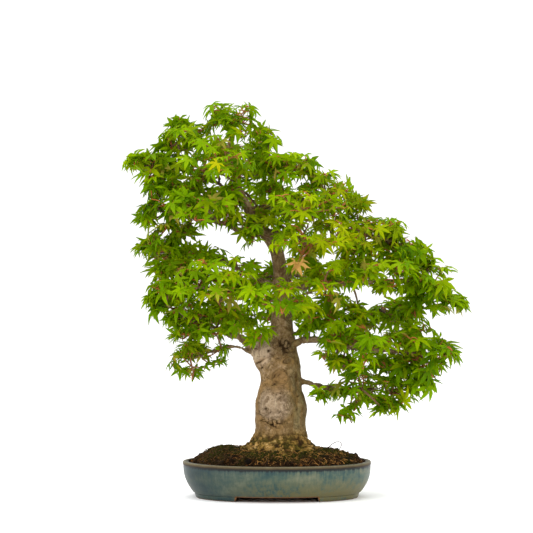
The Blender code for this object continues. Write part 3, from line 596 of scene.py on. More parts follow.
def make_pot():
    """The bowl: a super-elliptical outline, drawn in by the inset of a profile that runs from
    the middle of the underside, out and up the wall, over the lip and down inside."""
    lip_foot = POT_TOP - LIP_HEIGHT
    wall = np.linspace(FOOT_HEIGHT, lip_foot, 34)
    inner = np.linspace(lip_foot, FOOT_HEIGHT + FLOOR, 12)
    bend = np.linspace(0, np.pi / 2, 7)
    round_out = 0.0016
    profile = [(BASE_INSET + 0.004, FOOT_HEIGHT), (BASE_INSET + 0.0012, FOOT_HEIGHT)]
    profile += [(bowl_wall(h), h) for h in wall[1:-1]]
    profile += [(LIP_DEPTH, lip_foot), (LIP_DEPTH * 0.35, lip_foot + 0.0006)]
    profile += [(0.0, lip_foot + 0.0016), (0.0, POT_TOP - round_out * 1.6)]
    profile += [(round_out * (1 - math.cos(a)), POT_TOP - round_out * (1 - math.sin(a))) for a in bend]
    edge = LIP_DEPTH + WALL
    profile += [(edge - round_out * math.sin(a), POT_TOP - round_out * (1 - math.cos(a))) for a in bend]
    profile += [(bowl_wall(h) + WALL, h) for h in inner]
    profile = np.array(profile)
    turn = np.linspace(0, 2 * np.pi, 288, endpoint=False)
    inset, height = profile[:, :1], profile[:, 1:]
    grid = oval(inset, turn[None], 1.0, height)
    under = [oval(BASE_INSET + 0.004, turn, share, FOOT_HEIGHT) for share in (0.05, 0.5, 0.95)]
    floor = [oval(BASE_INSET + WALL, turn, share, FOOT_HEIGHT + FLOOR) for share in (0.9, 0.4, 0.05)]
    grid = np.concatenate((np.stack(under), grid, np.stack(floor)))
    waver = grain(grid, 0.05, 3) * 0.0005 + grain(grid, 0.012, 4) * 0.00012
    out = unit((grid - MIDDLE) * (1, 1, 0))
    grid = grid + out * (waver * soft_step(grid[..., 2], FOOT_HEIGHT, FOOT_HEIGHT + 0.01))[..., None]
    return skin(grid)


def make_foot():
    """Two arcs of foot ring: a softened wedge profile carried along the oval, each profile
    point ending where the sloping cut meets it."""
    outer_top = BASE_INSET + 0.0008
    outer_foot = BASE_INSET + FOOT_STEP
    inner = outer_foot + FOOT_THICKNESS
    profile = np.array(
        (
            (outer_top, FOOT_HEIGHT + 0.0006), (outer_foot - 0.0022, 0.005),
            (outer_foot - 0.0006, 0.0016), (outer_foot, 0.0006), (outer_foot + 0.0008, 0.0),
            (inner - 0.001, 0.0), (inner, 0.001), (inner + FOOT_TAPER, FOOT_HEIGHT + 0.0006),
        )
    )
    parts = []
    for side in (0.0, math.pi):
        inset, height = profile[:, 0], profile[:, 1]
        cut = FOOT_GAP - FOOT_GAP_SLOPE * height / FOOT_HEIGHT
        end = np.arccos((cut / (HALF_LENGTH - inset)) ** (OVAL_POWER / 2))
        turn = side + np.linspace(-1, 1, 160)[:, None] * end[None]
        parts.append(skin(oval(inset, turn, 1.0, height)))
    return merged(parts)


# ----------------------------------------------------------------------- soil
def soil_top(x, y):
    """Height of the soil: level near the rim, with a flat mound that falls as share⁴."""
    along = np.abs((x - MIDDLE[0]) / (HALF_LENGTH - SOIL_INSET)) ** OVAL_POWER
    across = np.abs((y - MIDDLE[1]) / (HALF_WIDTH - SOIL_INSET)) ** OVAL_POWER
    share = np.minimum((along + across) ** (1 / OVAL_POWER), 1)
    return SOIL_EDGE + MOUND * (1 - share**4), share


def ground(x, y):
    """The soil's top with a mossy rise on the left and a lower one on the right."""
    height, share = soil_top(x, y)
    left = hump(np.hypot(x - MIDDLE[0] + 0.106, (y - MIDDLE[1] + 0.005) * 0.6), 0.03)
    right = hump(np.hypot(x - MIDDLE[0] - 0.1, (y - MIDDLE[1]) * 0.6), 0.026)
    return height + (0.0085 * left + 0.001 * right) * (1 - share**8), share


def soil_finish():
    finish = Finish("soil_grains", Specular_IOR_Level=0.08)
    shade, green = finish.attribute("shade"), finish.attribute("green")
    fine = finish.noise(0.004, 4.0, 0.65)
    broad = finish.noise(0.02, 3.0)
    colour = finish.ramp(
        shade * 0.7 + fine * 0.45 - 0.08,
        (0.2, 0.004, 0.002, 0.001),
        (0.44, 0.018, 0.008, 0.002),
        (0.66, 0.085, 0.032, 0.007),
        (0.9, 0.38, 0.15, 0.035),
    )
    colour = finish.blend(broad.between(0.4, 0.65) * 0.35, colour, (0.065, 0.03, 0.008))
    mossy = ((0.3, 0.005, 0.007, 0.001), (0.52, 0.026, 0.028, 0.003), (0.72, 0.11, 0.09, 0.012))
    mossy = finish.ramp(fine, *mossy)
    colour = finish.blend(green * 0.85, colour, mossy)
    finish.set(Base_Color=colour, Roughness=0.9, Normal=finish.bump(fine, 0.0012, 0.8))
    return finish.material


def strand_finish(name, specular, rough, size, *stops):
    """Each strand has one colour, by its own shade, and a fine roughness."""
    finish = Finish(name, Specular_IOR_Level=specular)
    colour = finish.ramp(finish.attribute("shade"), *stops)
    finish.set(Base_Color=colour, Roughness=rough, Normal=finish.bump(finish.noise(size), 0.0002, 0.5))
    return finish.material


def fibre_finish():
    stops = ((0.1, 0.028, 0.012, 0.003), (0.5, 0.13, 0.055, 0.011), (0.9, 0.42, 0.2, 0.045))
    return strand_finish("dry_fibre", 0.3, 0.8, 0.0006, *stops)


def moss_finish():
    stops = ((0.1, 0.007, 0.009, 0.001), (0.5, 0.034, 0.036, 0.003), (0.9, 0.15, 0.125, 0.015))
    return strand_finish("moss_tufts", 0.08, 0.85, 0.0008, *stops)


def greenness(x, y):
    """Where moss grows: close round the trunk and on the slopes to its left and right."""
    out = np.hypot((x - MIDDLE[0]) / 1.15, y - MIDDLE[1])
    at = np.stack((x, y, np.zeros_like(x)), axis=-1)
    patch = grain(at, 0.022, 11) * 0.5 + grain(at, 0.008, 12) * 0.35
    ring = hump(out - 0.08, 0.022)
    left = hump(np.hypot(x - MIDDLE[0] + 0.1, (y - MIDDLE[1] + 0.02) * 0.6), 0.042)
    right = hump(np.hypot(x - MIDDLE[0] - 0.11, (y - MIDDLE[1] + 0.01) * 0.6), 0.04)
    return np.clip(np.maximum.reduce((ring, left, right)) * 1.3 + patch - 0.35, 0, 1)


def make_soil():
    """The mound: rings of the oval from the middle out, at the soil's height plus crumbly
    noise of three sizes, closed below by the pot's inner wall."""
    turn = np.linspace(0, 2 * np.pi, 420, endpoint=False)
    shares = np.concatenate((np.linspace(0.02, 0.93, 92), np.linspace(0.94, 1.0, 10)))[:, None]
    x, y = oval(SOIL_INSET, turn[None], shares)
    height, share = ground(x, y)
    grid = np.stack((x, y, height), axis=-1)
    crumbs = grain(grid, 0.014, 21) * 0.0016 + ridges(grid, 0.0055, 22) * 0.0022
    crumbs += grain(grid, 0.0026, 23) * 0.0009
    grid[..., 2] += (crumbs - 0.0012) * soft_step(1 - share, 0, 0.05)
    drops = (0.003, 0.012, 0.03, SOIL_EDGE - FOOT_HEIGHT - FLOOR - 0.0006)
    rings = []
    for drop in drops:
        h = SOIL_EDGE - drop
        rings.append(oval(bowl_wall(h) + WALL + 0.0006, turn, 1.0, h))
    rings.append(oval(BASE_INSET + WALL, turn, 0.3, SOIL_EDGE - drops[-1]))
    grid = np.concatenate((grid, np.stack(rings)))
    return skin(grid)


def lumps(places, sizes, seed):
    """Crumbs: a rough twelve-cornered ball at each place, stretched and turned by seeded amounts."""
    golden = (1 + 5**0.5) / 2
    corners = np.array([(0, a, b * golden) for a in (-1, 1) for b in (-1, 1)], float)
    ball = np.concatenate([np.roll(corners, i, axis=1) for i in range(3)]) / 1.9
    hull = []
    for i in range(12):
        for j in range(i + 1, 12):
            for k in range(j + 1, 12):
                a, b, c = ball[i], ball[j], ball[k]
                if max(np.linalg.norm(a - b), np.linalg.norm(b - c), np.linalg.norm(a - c)) < 1.1:
                    hull.append((i, j, k) if np.dot(np.cross(b - a, c - a), a) > 0 else (i, k, j))
    rng = np.random.default_rng(seed)
    count = len(places)
    turns, _ = np.linalg.qr(rng.normal(size=(count, 3, 3)))
    turns = turns * np.sign(np.linalg.det(turns))[:, None, None]
    shape = ball[None] * rng.uniform(0.65, 1.2, (count, 12, 1)) * rng.uniform(0.6, 1.3, (count, 1, 3))
    points = np.einsum("nvi,nij->nvj", shape, turns) * sizes[:, None, None] + places[:, None]
    faces = np.array(hull)[None] + (np.arange(count) * 12)[:, None, None]
    return points.reshape(-1, 3), [faces.reshape(-1, 3)]


def scattered(count, seed, low=0.25, high=0.985):
    """Seeded spots on the soil, even over its area, between two shares of its outline."""
    rng = np.random.default_rng(seed)
    share = np.sqrt(rng.uniform(low**2, high**2, count))
    turn = rng.uniform(0, 2 * np.pi, count)
    x, y = oval(LIP_DEPTH + WALL + 0.001, turn, share)
    height, _ = ground(x, y)
    return np.stack((x, y, height), axis=-1), rng


# ----------------------------------------------------------------------- wood
def trunk_line(height):
    """Centre of the trunk at a height share."""
    sway, lean = curve(TRUNK[:, 0], TRUNK[:, 1], height), curve(TRUNK[:, 0], TRUNK[:, 3], height)
    return spot(np.stack((sway, lean, height), axis=-1))


def make_trunk():
    """Rings along the trunk's line: the girth at each height, swollen into ridges at the roots."""
    height = np.concatenate((np.linspace(-2.4, 40, 150), np.linspace(40.6, 93.4, 90)))
    turn = np.linspace(0, 2 * np.pi, 96, endpoint=False)
    centre = trunk_line(height)
    ahead = unit(np.gradient(centre, axis=0))
    leaning = soft_step(height, 32, 42)[:, None]
    ahead = unit(ahead * leaning + (0, 0, 1) * (1 - leaning))
    right = unit(np.cross((0, 1, 0), ahead))
    back = np.cross(ahead, right)
    girth = curve(TRUNK[:, 0], TRUNK[:, 2], height) * TRUNK_RADIUS
    flare = 1 / (1 + np.exp((height - 5.0) / 0.9))
    lobes = np.zeros_like(turn)
    for angle in ROOT_ANGLES:
        away = (np.degrees(turn) - angle + 180) % 360 - 180
        lobes = np.maximum(lobes, hump(away, 14.0))
    radius = girth[:, None] * (1 + 0.16 * flare[:, None] * (lobes[None] - 0.5))
    deep = radius * (TRUNK_FLATNESS + (1 - TRUNK_FLATNESS) * soft_step(height, 34, 44))[:, None]
    ring = right[:, None] * np.cos(turn)[None, :, None] * radius[..., None]
    ring = ring + back[:, None] * np.sin(turn)[None, :, None] * deep[..., None]
    return skin(centre[:, None] + ring)


def make_roots():
    """Surface roots: tapering tubes from the flare, out and down into the soil."""
    parts = []
    rng = np.random.default_rng(5)
    for angle in ROOT_ANGLES:
        turn = math.radians(angle + rng.uniform(-6, 6))
        bend = rng.uniform(-0.25, 0.25)
        out = np.array((0.03, 0.052, 0.074, 0.093, 0.108)) * rng.uniform(0.92, 1.04)
        rise = np.array((0.036, 0.0225, 0.015, 0.01, 0.003)) + rng.uniform(-0.002, 0.002)
        turns = turn + bend * np.linspace(0, 1, 5) ** 2
        x = MIDDLE[0] + 0.005 + out * np.cos(turns)
        y = MIDDLE[1] + out * np.sin(turns) * 0.92
        path = np.stack((x, y, POT_TOP + rise), axis=-1)
        path = curve(np.arange(5), path, np.linspace(0, 4, 22))
        radii = np.interp(np.linspace(0, 4, 22), range(5), (0.016, 0.0125, 0.0088, 0.0062, 0.004))
        parts.append(tubes(path[None], radii[None], 14))
    return merged(parts)


def run_path(points, first, last, per=8):
    """A limb's centreline with a slow wander of about a third of its radius, and its radii:
    thick where it starts, falling as the 0.8 power of what is left."""
    points = spot(points)
    keys = np.arange(len(points))
    at = np.linspace(0, len(points) - 1, per * (len(points) - 1) + 1)
    path = curve(keys, points, at)
    share = at / at[-1]
    radii = (last + (first - last) * (1 - share) ** 0.8) / 1000
    return path + wander(path, 0.022, 31) * (radii * 0.9 * soft_step(share, 0, 0.1))[:, None], radii


def make_limbs():
    """All the runs as tubes: swollen where they leave, with knuckles along them."""
    parts = []
    for first, last, points in RUNS:
        path, radii = run_path(points, first, last)
        share = np.linspace(0, 1, len(path))
        collar = 1 + 0.55 * hump(share, 0.1)
        knuckles = 1 + 0.24 * grain(path, 0.01, 34)
        parts.append(tubes(path[None], (radii * collar * knuckles)[None], 12))
    return merged(parts)


def wood_points():
    """Every point that a twig can leave from: the limbs' centrelines and the upper leader."""
    found = [run_path(points, first, last)[0][4:] for first, last, points in RUNS]
    found.append(trunk_line(np.linspace(66, 93, 30)))
    return np.concatenate(found)


def remeshed(mesh, voxel):
    """The outer skin of overlapping closed surfaces, as one even mesh."""
    name = mesh.name
    holder = standing(name, mesh)
    remesh = holder.modifiers.new("one skin", "REMESH")
    remesh.mode = "VOXEL"
    remesh.voxel_size = voxel
    smooth = holder.modifiers.new("soften", "SMOOTH")
    smooth.iterations = 3
    smooth.factor = 0.5
    bpy.context.view_layer.update()
    graph = bpy.context.evaluated_depsgraph_get()
    result = bpy.data.meshes.new_from_object(holder.evaluated_get(graph))
    bpy.data.objects.remove(holder, do_unlink=True)
    bpy.data.meshes.remove(mesh)
    result.name = name
    return result


# features of the trunk's front: right of the pot's middle, height, and how heights count
FRONT_SPOTS = {
    "swelling": (-0.034, 0.266, 0.85), "belly": (-0.002, 0.17, 0.86), "scar": (0.005, 0.2165, 0.95),
    "knot": (0.019, 0.2455, 1.25), "bud": (-0.0217, 0.1546, 1.0),
}
# raised or sunk rings round them: feature, radius, half width, lift
FRONT_RELIEF = (
    ("swelling", 0, 0.019, 0.0078), ("belly", 0, 0.028, 0.0075), ("scar", 0.012, 0.002, 0.0022),
    ("scar", 0, 0.0085, -0.002), ("scar", 0.015, 0.0014, -0.0014), ("knot", 0.0085, 0.0024, 0.0018),
    ("knot", 0, 0.0055, -0.0024), ("bud", 0.005, 0.0014, 0.0012), ("bud", 0, 0.003, -0.0008),
)
# painted shade in rings round them: feature, radius, half width, depth, share that is never broken
FRONT_CREASE_SHADES = (
    ("scar", 0.0136, 0.0014, 0.7, 0.35), ("scar", 0.0092, 0.0013, 0.6, 0),
    ("scar", 0.0045, 0.0011, 0.55, 0), ("knot", 0.007, 0.0015, 0.8, 0), ("knot", 0, 0.0045, 0.45, 1),
    ("bud", 0.0066, 0.0009, 0.4, 1),
)
CRACKS = 44


def wood_shares(at, normal):
    """How much each point belongs to the stout trunk, its front, its flare and the limbs."""
    x, y, z = (at - UNDER).T
    height = np.clip((z - POT_TOP) / TREE[2], -2.4, 93.4)
    axis = trunk_line(height) - UNDER
    girth = curve(TRUNK[:, 0], TRUNK[:, 2], height) * TRUNK_RADIUS
    away = np.hypot(x - axis[:, 0], y - axis[:, 1])
    on_trunk = 1 - soft_step(away, girth * 1.12 + 0.002, girth * 1.25 + 0.006)
    stout = on_trunk * (1 - soft_step(z, 0.27, 0.34))
    return stout, soft_step(-normal[:, 1], 0.05, 0.45) * stout, 1 - soft_step(z, 0.1, 0.128), 1 - on_trunk


def front_features(at, turned, facing):
    """The trunk's front: lift along the normal, painted shade in its creases and cracks, and how far
    each point is in the scar, smooth, warm in colour, in the folds below the belly and in the crotch.
    All are sums of bell curves round lines and spots whose places are bent by two sizes of noise."""
    x, _, z = (at - UNDER).T
    warp_x = x + grain(at, 0.018, 48) * 0.004 + grain(at, 0.0065, 57) * 0.0014
    warp_z = z + grain(at, 0.016, 49) * 0.004 + grain(at, 0.0065, 58) * 0.0014
    broken = soft_step(grain(at, 0.01, 59), -0.35, 0.25)
    places = {"swelling": (x, z), "belly": (warp_x, warp_z), "knot": (warp_x, warp_z), "bud": (x, z)}
    places["scar"] = ((warp_x + 2 * x) / 3, (warp_z + 2 * z) / 3)
    off = {
        name: np.hypot(places[name][0] - across, (places[name][1] - up) * tall)
        for name, (across, up, tall) in FRONT_SPOTS.items()
    }
    move, crease = np.zeros(len(at)), np.zeros(len(at))
    for name, radius, width, lift in FRONT_RELIEF:
        move += lift * hump(off[name] - radius, width)
    # painted shade along the listed creases
    for name, radius, width, depth, whole in FRONT_CREASE_SHADES:
        crease += depth * hump(off[name] - radius, width) * (whole + (1 - whole) * broken)

    # the fold under the swelling, and a slanting hollow from the crotch down to the waist, both with
    # painted shade along them
    fold = (warp_z - 0.2415) - 0.42 * (warp_x + 0.034) - 9.0 * (warp_x + 0.034) ** 2
    under = hump(warp_x + 0.033, 0.013)
    move -= 0.0046 * hump(fold, 0.0026) * under
    crease += hump(fold, 0.0018) * under
    slant = (warp_x + 0.012) - 0.62 * (warp_z - 0.256)
    down_slant = hump(warp_z - 0.252, 0.026)
    move -= 0.003 * hump(slant, 0.0042) * down_slant
    crease += 0.5 * hump(slant, 0.002) * down_slant * broken
    # a broken hollow round the belly, and one beside the right-hand column, with painted shade along it
    move -= 0.0018 * hump(off["belly"] - 0.035, 0.005) * broken
    column = warp_x - (0.031 + 0.22 * np.abs(z - 0.185))
    valley = hump(column, 0.0045) * soft_step(z, 0.105, 0.13) * (1 - soft_step(z, 0.225, 0.25))
    move -= 0.0026 * valley
    crease += 0.3 * hump(column, 0.0016) * valley * broken
    # rings across the pruning scar
    scar = 1 - soft_step(off["scar"], 0.0105, 0.0145)
    move += (0.0006 * np.cos(off["scar"] * 2 * np.pi / 0.0042) + 0.0008 * grain(at, 0.0032, 60)) * scar
    # wrinkles over the belly and deep folds under it, with painted shade in the wrinkles' troughs and in
    # the folds
    above = hump(warp_z - 0.197, 0.0095) * hump(x - 0.003, 0.024)
    wrinkle = np.sin((warp_z + 4.5 * (warp_x - 0.003) ** 2) * 2 * np.pi / 0.0052)
    move += 0.0008 * wrinkle * above
    crease += 0.32 * soft_step(-wrinkle, 0.35, 0.95) * above * broken
    below = hump(warp_z - 0.135 - 6.0 * (warp_x + 0.006) ** 2, 0.0075) * hump(x + 0.007, 0.019)
    folded = soft_step(ridges(at * (1, 1, 1.6), 0.0065, 61), 0.48, 0.84)
    move -= (folded * 0.006 - 0.0015) * below
    crease += folded * below * 1.5
    # short slanting cracks, with painted shade in them
    rng = np.random.default_rng(52)
    for _ in range(CRACKS):
        centre_x, centre_z = rng.uniform(-0.034, 0.04), rng.uniform(0.128, 0.272)
        slope, reach = rng.uniform(-0.6, 1.8), rng.uniform(0.0014, 0.0042)
        across, up = warp_x - centre_x, warp_z - centre_z
        mark = hump((up - slope * across) / math.hypot(1, slope), 0.0012)
        mark *= hump(np.hypot(across, up), reach)
        move -= 0.001 * mark
        crease += 0.95 * mark
    # the wrinkled crotch under the first limbs, darkened by painted shade in its wrinkles
    crotch = hump(np.hypot((warp_x - 0.012) * 0.85, (warp_z - 0.276) * 0.9), 0.018)
    wrinkled = soft_step(ridges(turned, 0.0075, 62), 0.6, 0.94)
    move -= wrinkled * 0.0026 * crotch
    crease += wrinkled * 0.9 * crotch

    warm = hump(off["belly"] - 0.0345, 0.006) + hump(fold, 0.005) * under * facing
    warm += hump(off["scar"] - 0.012, 0.0045) + hump(off["knot"] - 0.008, 0.0045)
    warm += above * 0.7 + below * 0.6
    smooth = 0.65 * (1 - soft_step(off["belly"], 0.022, 0.036))
    smooth = np.maximum(smooth, 1 - soft_step(off["swelling"], 0.018, 0.03))
    return (numbers * facing for numbers in (move, crease, scar, smooth, warm, below, crotch))


def carve_bark(mesh):
    """Moves each point of the wood along its normal by the sum of its bark's features, and
    notes where it is mossy or scarred and how much painted shade its creases and cracks get."""
    at, normal = np.empty((2, len(mesh.vertices) * 3), np.float32)
    mesh.vertices.foreach_get("co", at)
    mesh.vertex_normals.foreach_get("vector", normal)
    at, normal = at.reshape(-1, 3).astype(float), normal.reshape(-1, 3).astype(float)
    stout, facing, base, limb = wood_shares(at, normal)

    # plates and long grain on the trunk, fissures on the flare, knots on the limbs
    turned = at + wander(at, 0.012, 63) * 0.006
    fissures, fine_fissures = ridges(turned, 0.0105, 45), ridges(turned, 0.005, 56)
    move = grain(at, 0.026, 41) * 0.0016 + grain(at, 0.011, 42) * 0.0008
    move += (ridges(at * (1, 1, 0.3), 0.005, 43) - 0.55) * 0.0006
    move += (ridges(at, 0.0042, 44) - 0.5) * 0.0011 * (0.5 + 0.5 * base)
    move *= stout
    move += ((0.45 - fissures) * 0.0038 + (0.45 - fine_fissures) * 0.0026) * base
    move += ((ridges(at, 0.0055, 46) - 0.5) * 0.0019 + grain(at, 0.01, 47) * 0.0019) * limb
    front, crease, scar, smooth, warm, below, crotch = front_features(at, turned, facing)
    mesh.vertices.foreach_set("co", (at + normal * (move + front)[:, None]).astype(np.float32).ravel())
    mesh.update()

    cracks = np.maximum(soft_step(fissures, 0.52, 0.8), 0.8 * soft_step(fine_fissures, 0.6, 0.88)) * base
    patches = grain(at, 0.006, 54)
    moss = base * np.clip(0.16 + grain(at, 0.016, 53) * 0.7 + patches * 0.5 + cracks * 0.35, 0, 1)
    moss = np.maximum(moss, (1 - soft_step(at[:, 2], 0.078, 0.094)) * 0.8)
    moss = np.maximum(moss, below * 0.5 * soft_step(patches, -0.1, 0.4))
    moss = np.maximum(moss, limb * np.clip(grain(at, 0.014, 55) * 1.3 - 0.15, 0, 1) * 0.7)
    # painted shade in the creases, fissures and cracks, and a broad painted shade over the crotch
    crease = crease + cracks + crotch * 0.3
    moss, crease, scar, warm = (np.clip(numbers, 0, 1) for numbers in (moss, crease, scar, warm))
    add_values(mesh, moss=moss, crease=crease, scar=scar, warm=warm, smooth=smooth, limb=limb, base=base)


def bark_finish():
    finish = Finish("maple_bark", Specular_IOR_Level=0.12)
    moss, crease, scar = (finish.attribute(name) for name in ("moss", "crease", "scar"))
    limb, base, smooth = (finish.attribute(name) for name in ("limb", "base", "smooth"))
    streak = finish.noise(0.01, 4.0, 0.6, 0.4, place=finish.stretched(1, 1, 0.22))
    cloud = finish.noise(0.018, 5.0, 0.62, 0.5)
    fine = finish.noise(0.0042, 4.0, 0.65, 0.3)
    pore = finish.cells(0.0065)
    bark = finish.ramp(
        cloud * 0.42 + streak * 0.28 + fine * 0.3,
        (0.37, 0.09, 0.048, 0.015),
        (0.46, 0.21, 0.13, 0.054),
        (0.54, 0.315, 0.212, 0.108),
        (0.64, 0.44, 0.325, 0.2),
    )
    pale = ((0.38, 0.2, 0.14, 0.09), (0.5, 0.33, 0.245, 0.165), (0.62, 0.46, 0.355, 0.25))
    pale = finish.ramp(cloud * 0.6 + fine * 0.4, *pale)
    bark = finish.blend(smooth, bark, pale)
    # a paler, brighter tone on the upper swelling: its pale bark with painted light over it
    bark = finish.blend(smooth.between(0.66, 0.95) * 0.55, bark, (0.64, 0.475, 0.31))
    bark = finish.blend(finish.attribute("warm") * (0.45 + fine * 0.6), bark, (0.3, 0.178, 0.066))
    wander = finish.noise(0.016, 6.0, 0.6, 0.9, place=finish.stretched(1, 1, 0.7))
    hairline = 1 - ((wander - 0.5).maths("ABSOLUTE") * 22).between(0.2, 1.0)
    # painted shade in fine hairline cracks
    bark = finish.blend(hairline * streak.between(0.4, 0.6) * 0.7, bark, (0.085, 0.042, 0.012))
    speck = finish.noise(0.0048, 3.0, 0.6).between(0.62, 0.7)
    bark = finish.blend(speck * 0.65, bark, (0.075, 0.038, 0.012))

    # darker and greener towards the right: painted shade on the side away from the key lamp, with the
    # grey-green column's own colour
    side = finish.axis(0).between(MIDDLE[0] + 0.012, MIDDLE[0] + 0.034)
    share = side * (0.45 + streak * 0.5)
    bark = finish.blend(share, bark, finish.blend(1.0, bark, (0.68, 0.66, 0.44), "MULTIPLY"))
    bark = finish.blend(side * streak.between(0.45, 0.65) * 0.45, bark, (0.19, 0.17, 0.08))
    bark = finish.blend(scar * (0.4 + fine * 0.5), bark, (0.225, 0.128, 0.046))
    pits = (1 - pore.between(0.08, 0.22)) * cloud.between(0.42, 0.6) * 0.7
    bark = finish.blend(pits, bark, (0.075, 0.038, 0.012))
    ochre = finish.ramp(
        cloud * 0.6 + fine * 0.4,
        (0.38, 0.05, 0.026, 0.003), (0.46, 0.21, 0.118, 0.022), (0.53, 0.38, 0.215, 0.048),
        (0.62, 0.66, 0.42, 0.16),
    )
    bark = finish.blend(base * 0.9, bark, ochre)
    twig = ((0.38, 0.075, 0.045, 0.018), (0.5, 0.19, 0.125, 0.058), (0.64, 0.36, 0.265, 0.155))
    twig = finish.ramp(cloud * 0.5 + fine * 0.5, *twig)
    bark = finish.blend(limb, bark, twig)
    # painted shade in the creases and cracks
    bark = finish.blend(crease, bark, (0.03, 0.014, 0.003))
    green = ((0.3, 0.014, 0.013, 0.001), (0.52, 0.085, 0.07, 0.007), (0.72, 0.24, 0.18, 0.03))
    green = finish.ramp(fine, *green)
    bark = finish.blend(moss * (0.35 + fine * 0.7), bark, green)
    finish.set(
        Base_Color=bark,
        Roughness=0.72 + fine * 0.2,
        Normal=finish.bump(fine * 0.8 + cloud * 0.3 + streak * 0.4 - hairline * 0.35, 0.002, 1.0),
    )
    return finish.material


def twig_finish():
    finish = Finish("young_twigs", Specular_IOR_Level=0.35)
    shade = finish.attribute("shade")
    mottle = finish.noise(0.004, 3.0)
    colour = finish.ramp(
        shade + mottle * 0.3 - 0.15,
        (0.0, 0.085, 0.052, 0.03),
        (0.4, 0.22, 0.09, 0.022),
        (0.75, 0.46, 0.12, 0.022),
        (1.0, 0.46, 0.24, 0.03),
    )
    finish.set(Base_Color=colour, Roughness=0.5, Normal=finish.bump(mottle, 0.0002, 0.5))
    return finish.material


# --------------------------------------------------------------------- leaves
def leaf_pattern(lobes):
    """One maple leaf in its own plane, base at the origin and longest lobe along x.

    Each lobe is a spear: half width shares of 0.145 and 0.082 at shares 0.47 and 0.75 of its
    length, then the tip. Neighbouring lobes share the corner between them.
    Returns points, how far each is from its midrib, its lobe, faces, and each face corner's
    place across and along its lobe."""
    angles, lengths = np.radians([a for a, _ in lobes]), np.array([size for _, size in lobes])
    count = len(lobes)
    edges = np.concatenate(([angles[0] - 0.3], (angles[1:] + angles[:-1]) / 2, [angles[-1] + 0.3]))
    near = 0.28 * np.concatenate((lengths[:1], np.minimum(lengths[1:], lengths[:-1]), lengths[-1:]))
    points = [(0.0, 0.0)] + [(r * math.cos(a), r * math.sin(a)) for a, r in zip(edges, near)]
    off = [0.0] + [0.08] * (count + 1)
    lobe_of = [count // 2] + [min(i, count - 1) for i in range(count + 1)]
    triangles, quads, tri_marks, quad_marks = [], [], [], []
    for i, (angle, length) in enumerate(zip(angles, lengths)):
        first = len(points)
        ahead = np.array((math.cos(angle), math.sin(angle)))
        side = np.array((-math.sin(angle), math.cos(angle)))
        spots = [(0.27, 0), (0.47, 0), (0.75, 0), (1.0, 0)]
        spots += [(0.47, -0.145), (0.75, -0.082), (0.47, 0.145), (0.75, 0.082)]
        points += [tuple((ahead * a + side * b) * length) for a, b in spots]
        off += [abs(b) for _, b in spots]
        lobe_of += [i] * 8
        m1, m2, m3, tip, l1, l2, r1, r2 = range(first, first + 8)
        s1, s2 = 1 + i, 2 + i
        triangles += [(0, s1, m1), (0, m1, s2), (l2, tip, m3), (m3, tip, r2)]
        tri_marks += [((0.5, 0), (0, 0.27), (0.5, 0.27)), ((0.5, 0), (0.5, 0.27), (1, 0.27))]
        tri_marks += [((0, 0.78), (0.5, 1), (0.5, 0.78)), ((0.5, 0.78), (0.5, 1), (1, 0.78))]
        quads += [(s1, l1, m2, m1), (m1, m2, r1, s2), (l1, l2, m3, m2), (m2, m3, r2, r1)]
        quad_marks += [
            ((left, low), (left, high), (left + 0.5, high), (left + 0.5, low))
            for low, high in ((0.27, 0.52), (0.52, 0.78)) for left in (0, 0.5)
        ]
    return (
        np.array(points), np.array(off), np.array(lobe_of), np.array(quads), np.array(triangles),
        np.array(quad_marks, float), np.array(tri_marks, float),
    )


SEVEN = leaf_pattern(
    ((-134, 0.44), (-88, 0.8), (-43, 0.97), (0, 1.0), (43, 0.97), (88, 0.8), (134, 0.44))
)
FIVE = leaf_pattern(((-106, 0.66), (-52, 0.94), (0, 1.0), (52, 0.94), (106, 0.66)))
LEAF_LENGTH = 0.0285
LOWEST_SHOOT = -0.85
HANG = 0.014
SHOOT_AREA = 0.00078
OVERHANG = 0.009
# along each shoot of nine points: the point, the turns of its leaves, and their size share
WHORLS = ((8, (-1.0, 0.0, 1.0), 1.0), (6, (-1.25, 1.25), 1.0), (4, (-1.35, 1.35), 0.85))


def leaves(pattern, base, ahead, up, size, seed):
    """Copies of a leaf pattern. Each point's height is a droop of its distance squared, a lift
    of the blade on both sides of each midrib, and a seeded curl for each lobe."""
    flat, off, lobe_of, quads, triangles, quad_marks, tri_marks = pattern
    rng = np.random.default_rng(seed)
    count, lobes = len(base), int(lobe_of.max()) + 1
    side = np.cross(up, ahead)
    reach = np.hypot(flat[:, 0], flat[:, 1])
    droop = rng.normal(0.2, 0.1, (count, 1))
    curl = rng.normal(0, 0.1, (count, lobes))[:, lobe_of]
    lift = rng.uniform(0.35, 0.75, (count, 1)) * off[None]
    height = lift - (droop + curl) * reach[None] ** 2
    width = rng.uniform(0.86, 1.06, (count, 1))
    skew = rng.normal(0, 0.05, (count, 1))
    x = flat[None, :, 0] * (1 - 0.1 * np.abs(droop))
    y = flat[None, :, 1] * width + skew * flat[None, :, 0] ** 2
    points = (
        base[:, None]
        + (x[..., None] * ahead[:, None] + y[..., None] * side[:, None] + height[..., None] * up[:, None])
        * size[:, None, None]
    )
    step = (np.arange(count) * len(flat))[:, None, None]
    marks = np.concatenate(
        (np.tile(quad_marks.reshape(-1, 2), (count, 1)), np.tile(tri_marks.reshape(-1, 2), (count, 1)))
    )
    faces = [(quads[None] + step).reshape(-1, 4), (triangles[None] + step).reshape(-1, 3)]
    return points.reshape(-1, 3), faces, marks, len(flat)


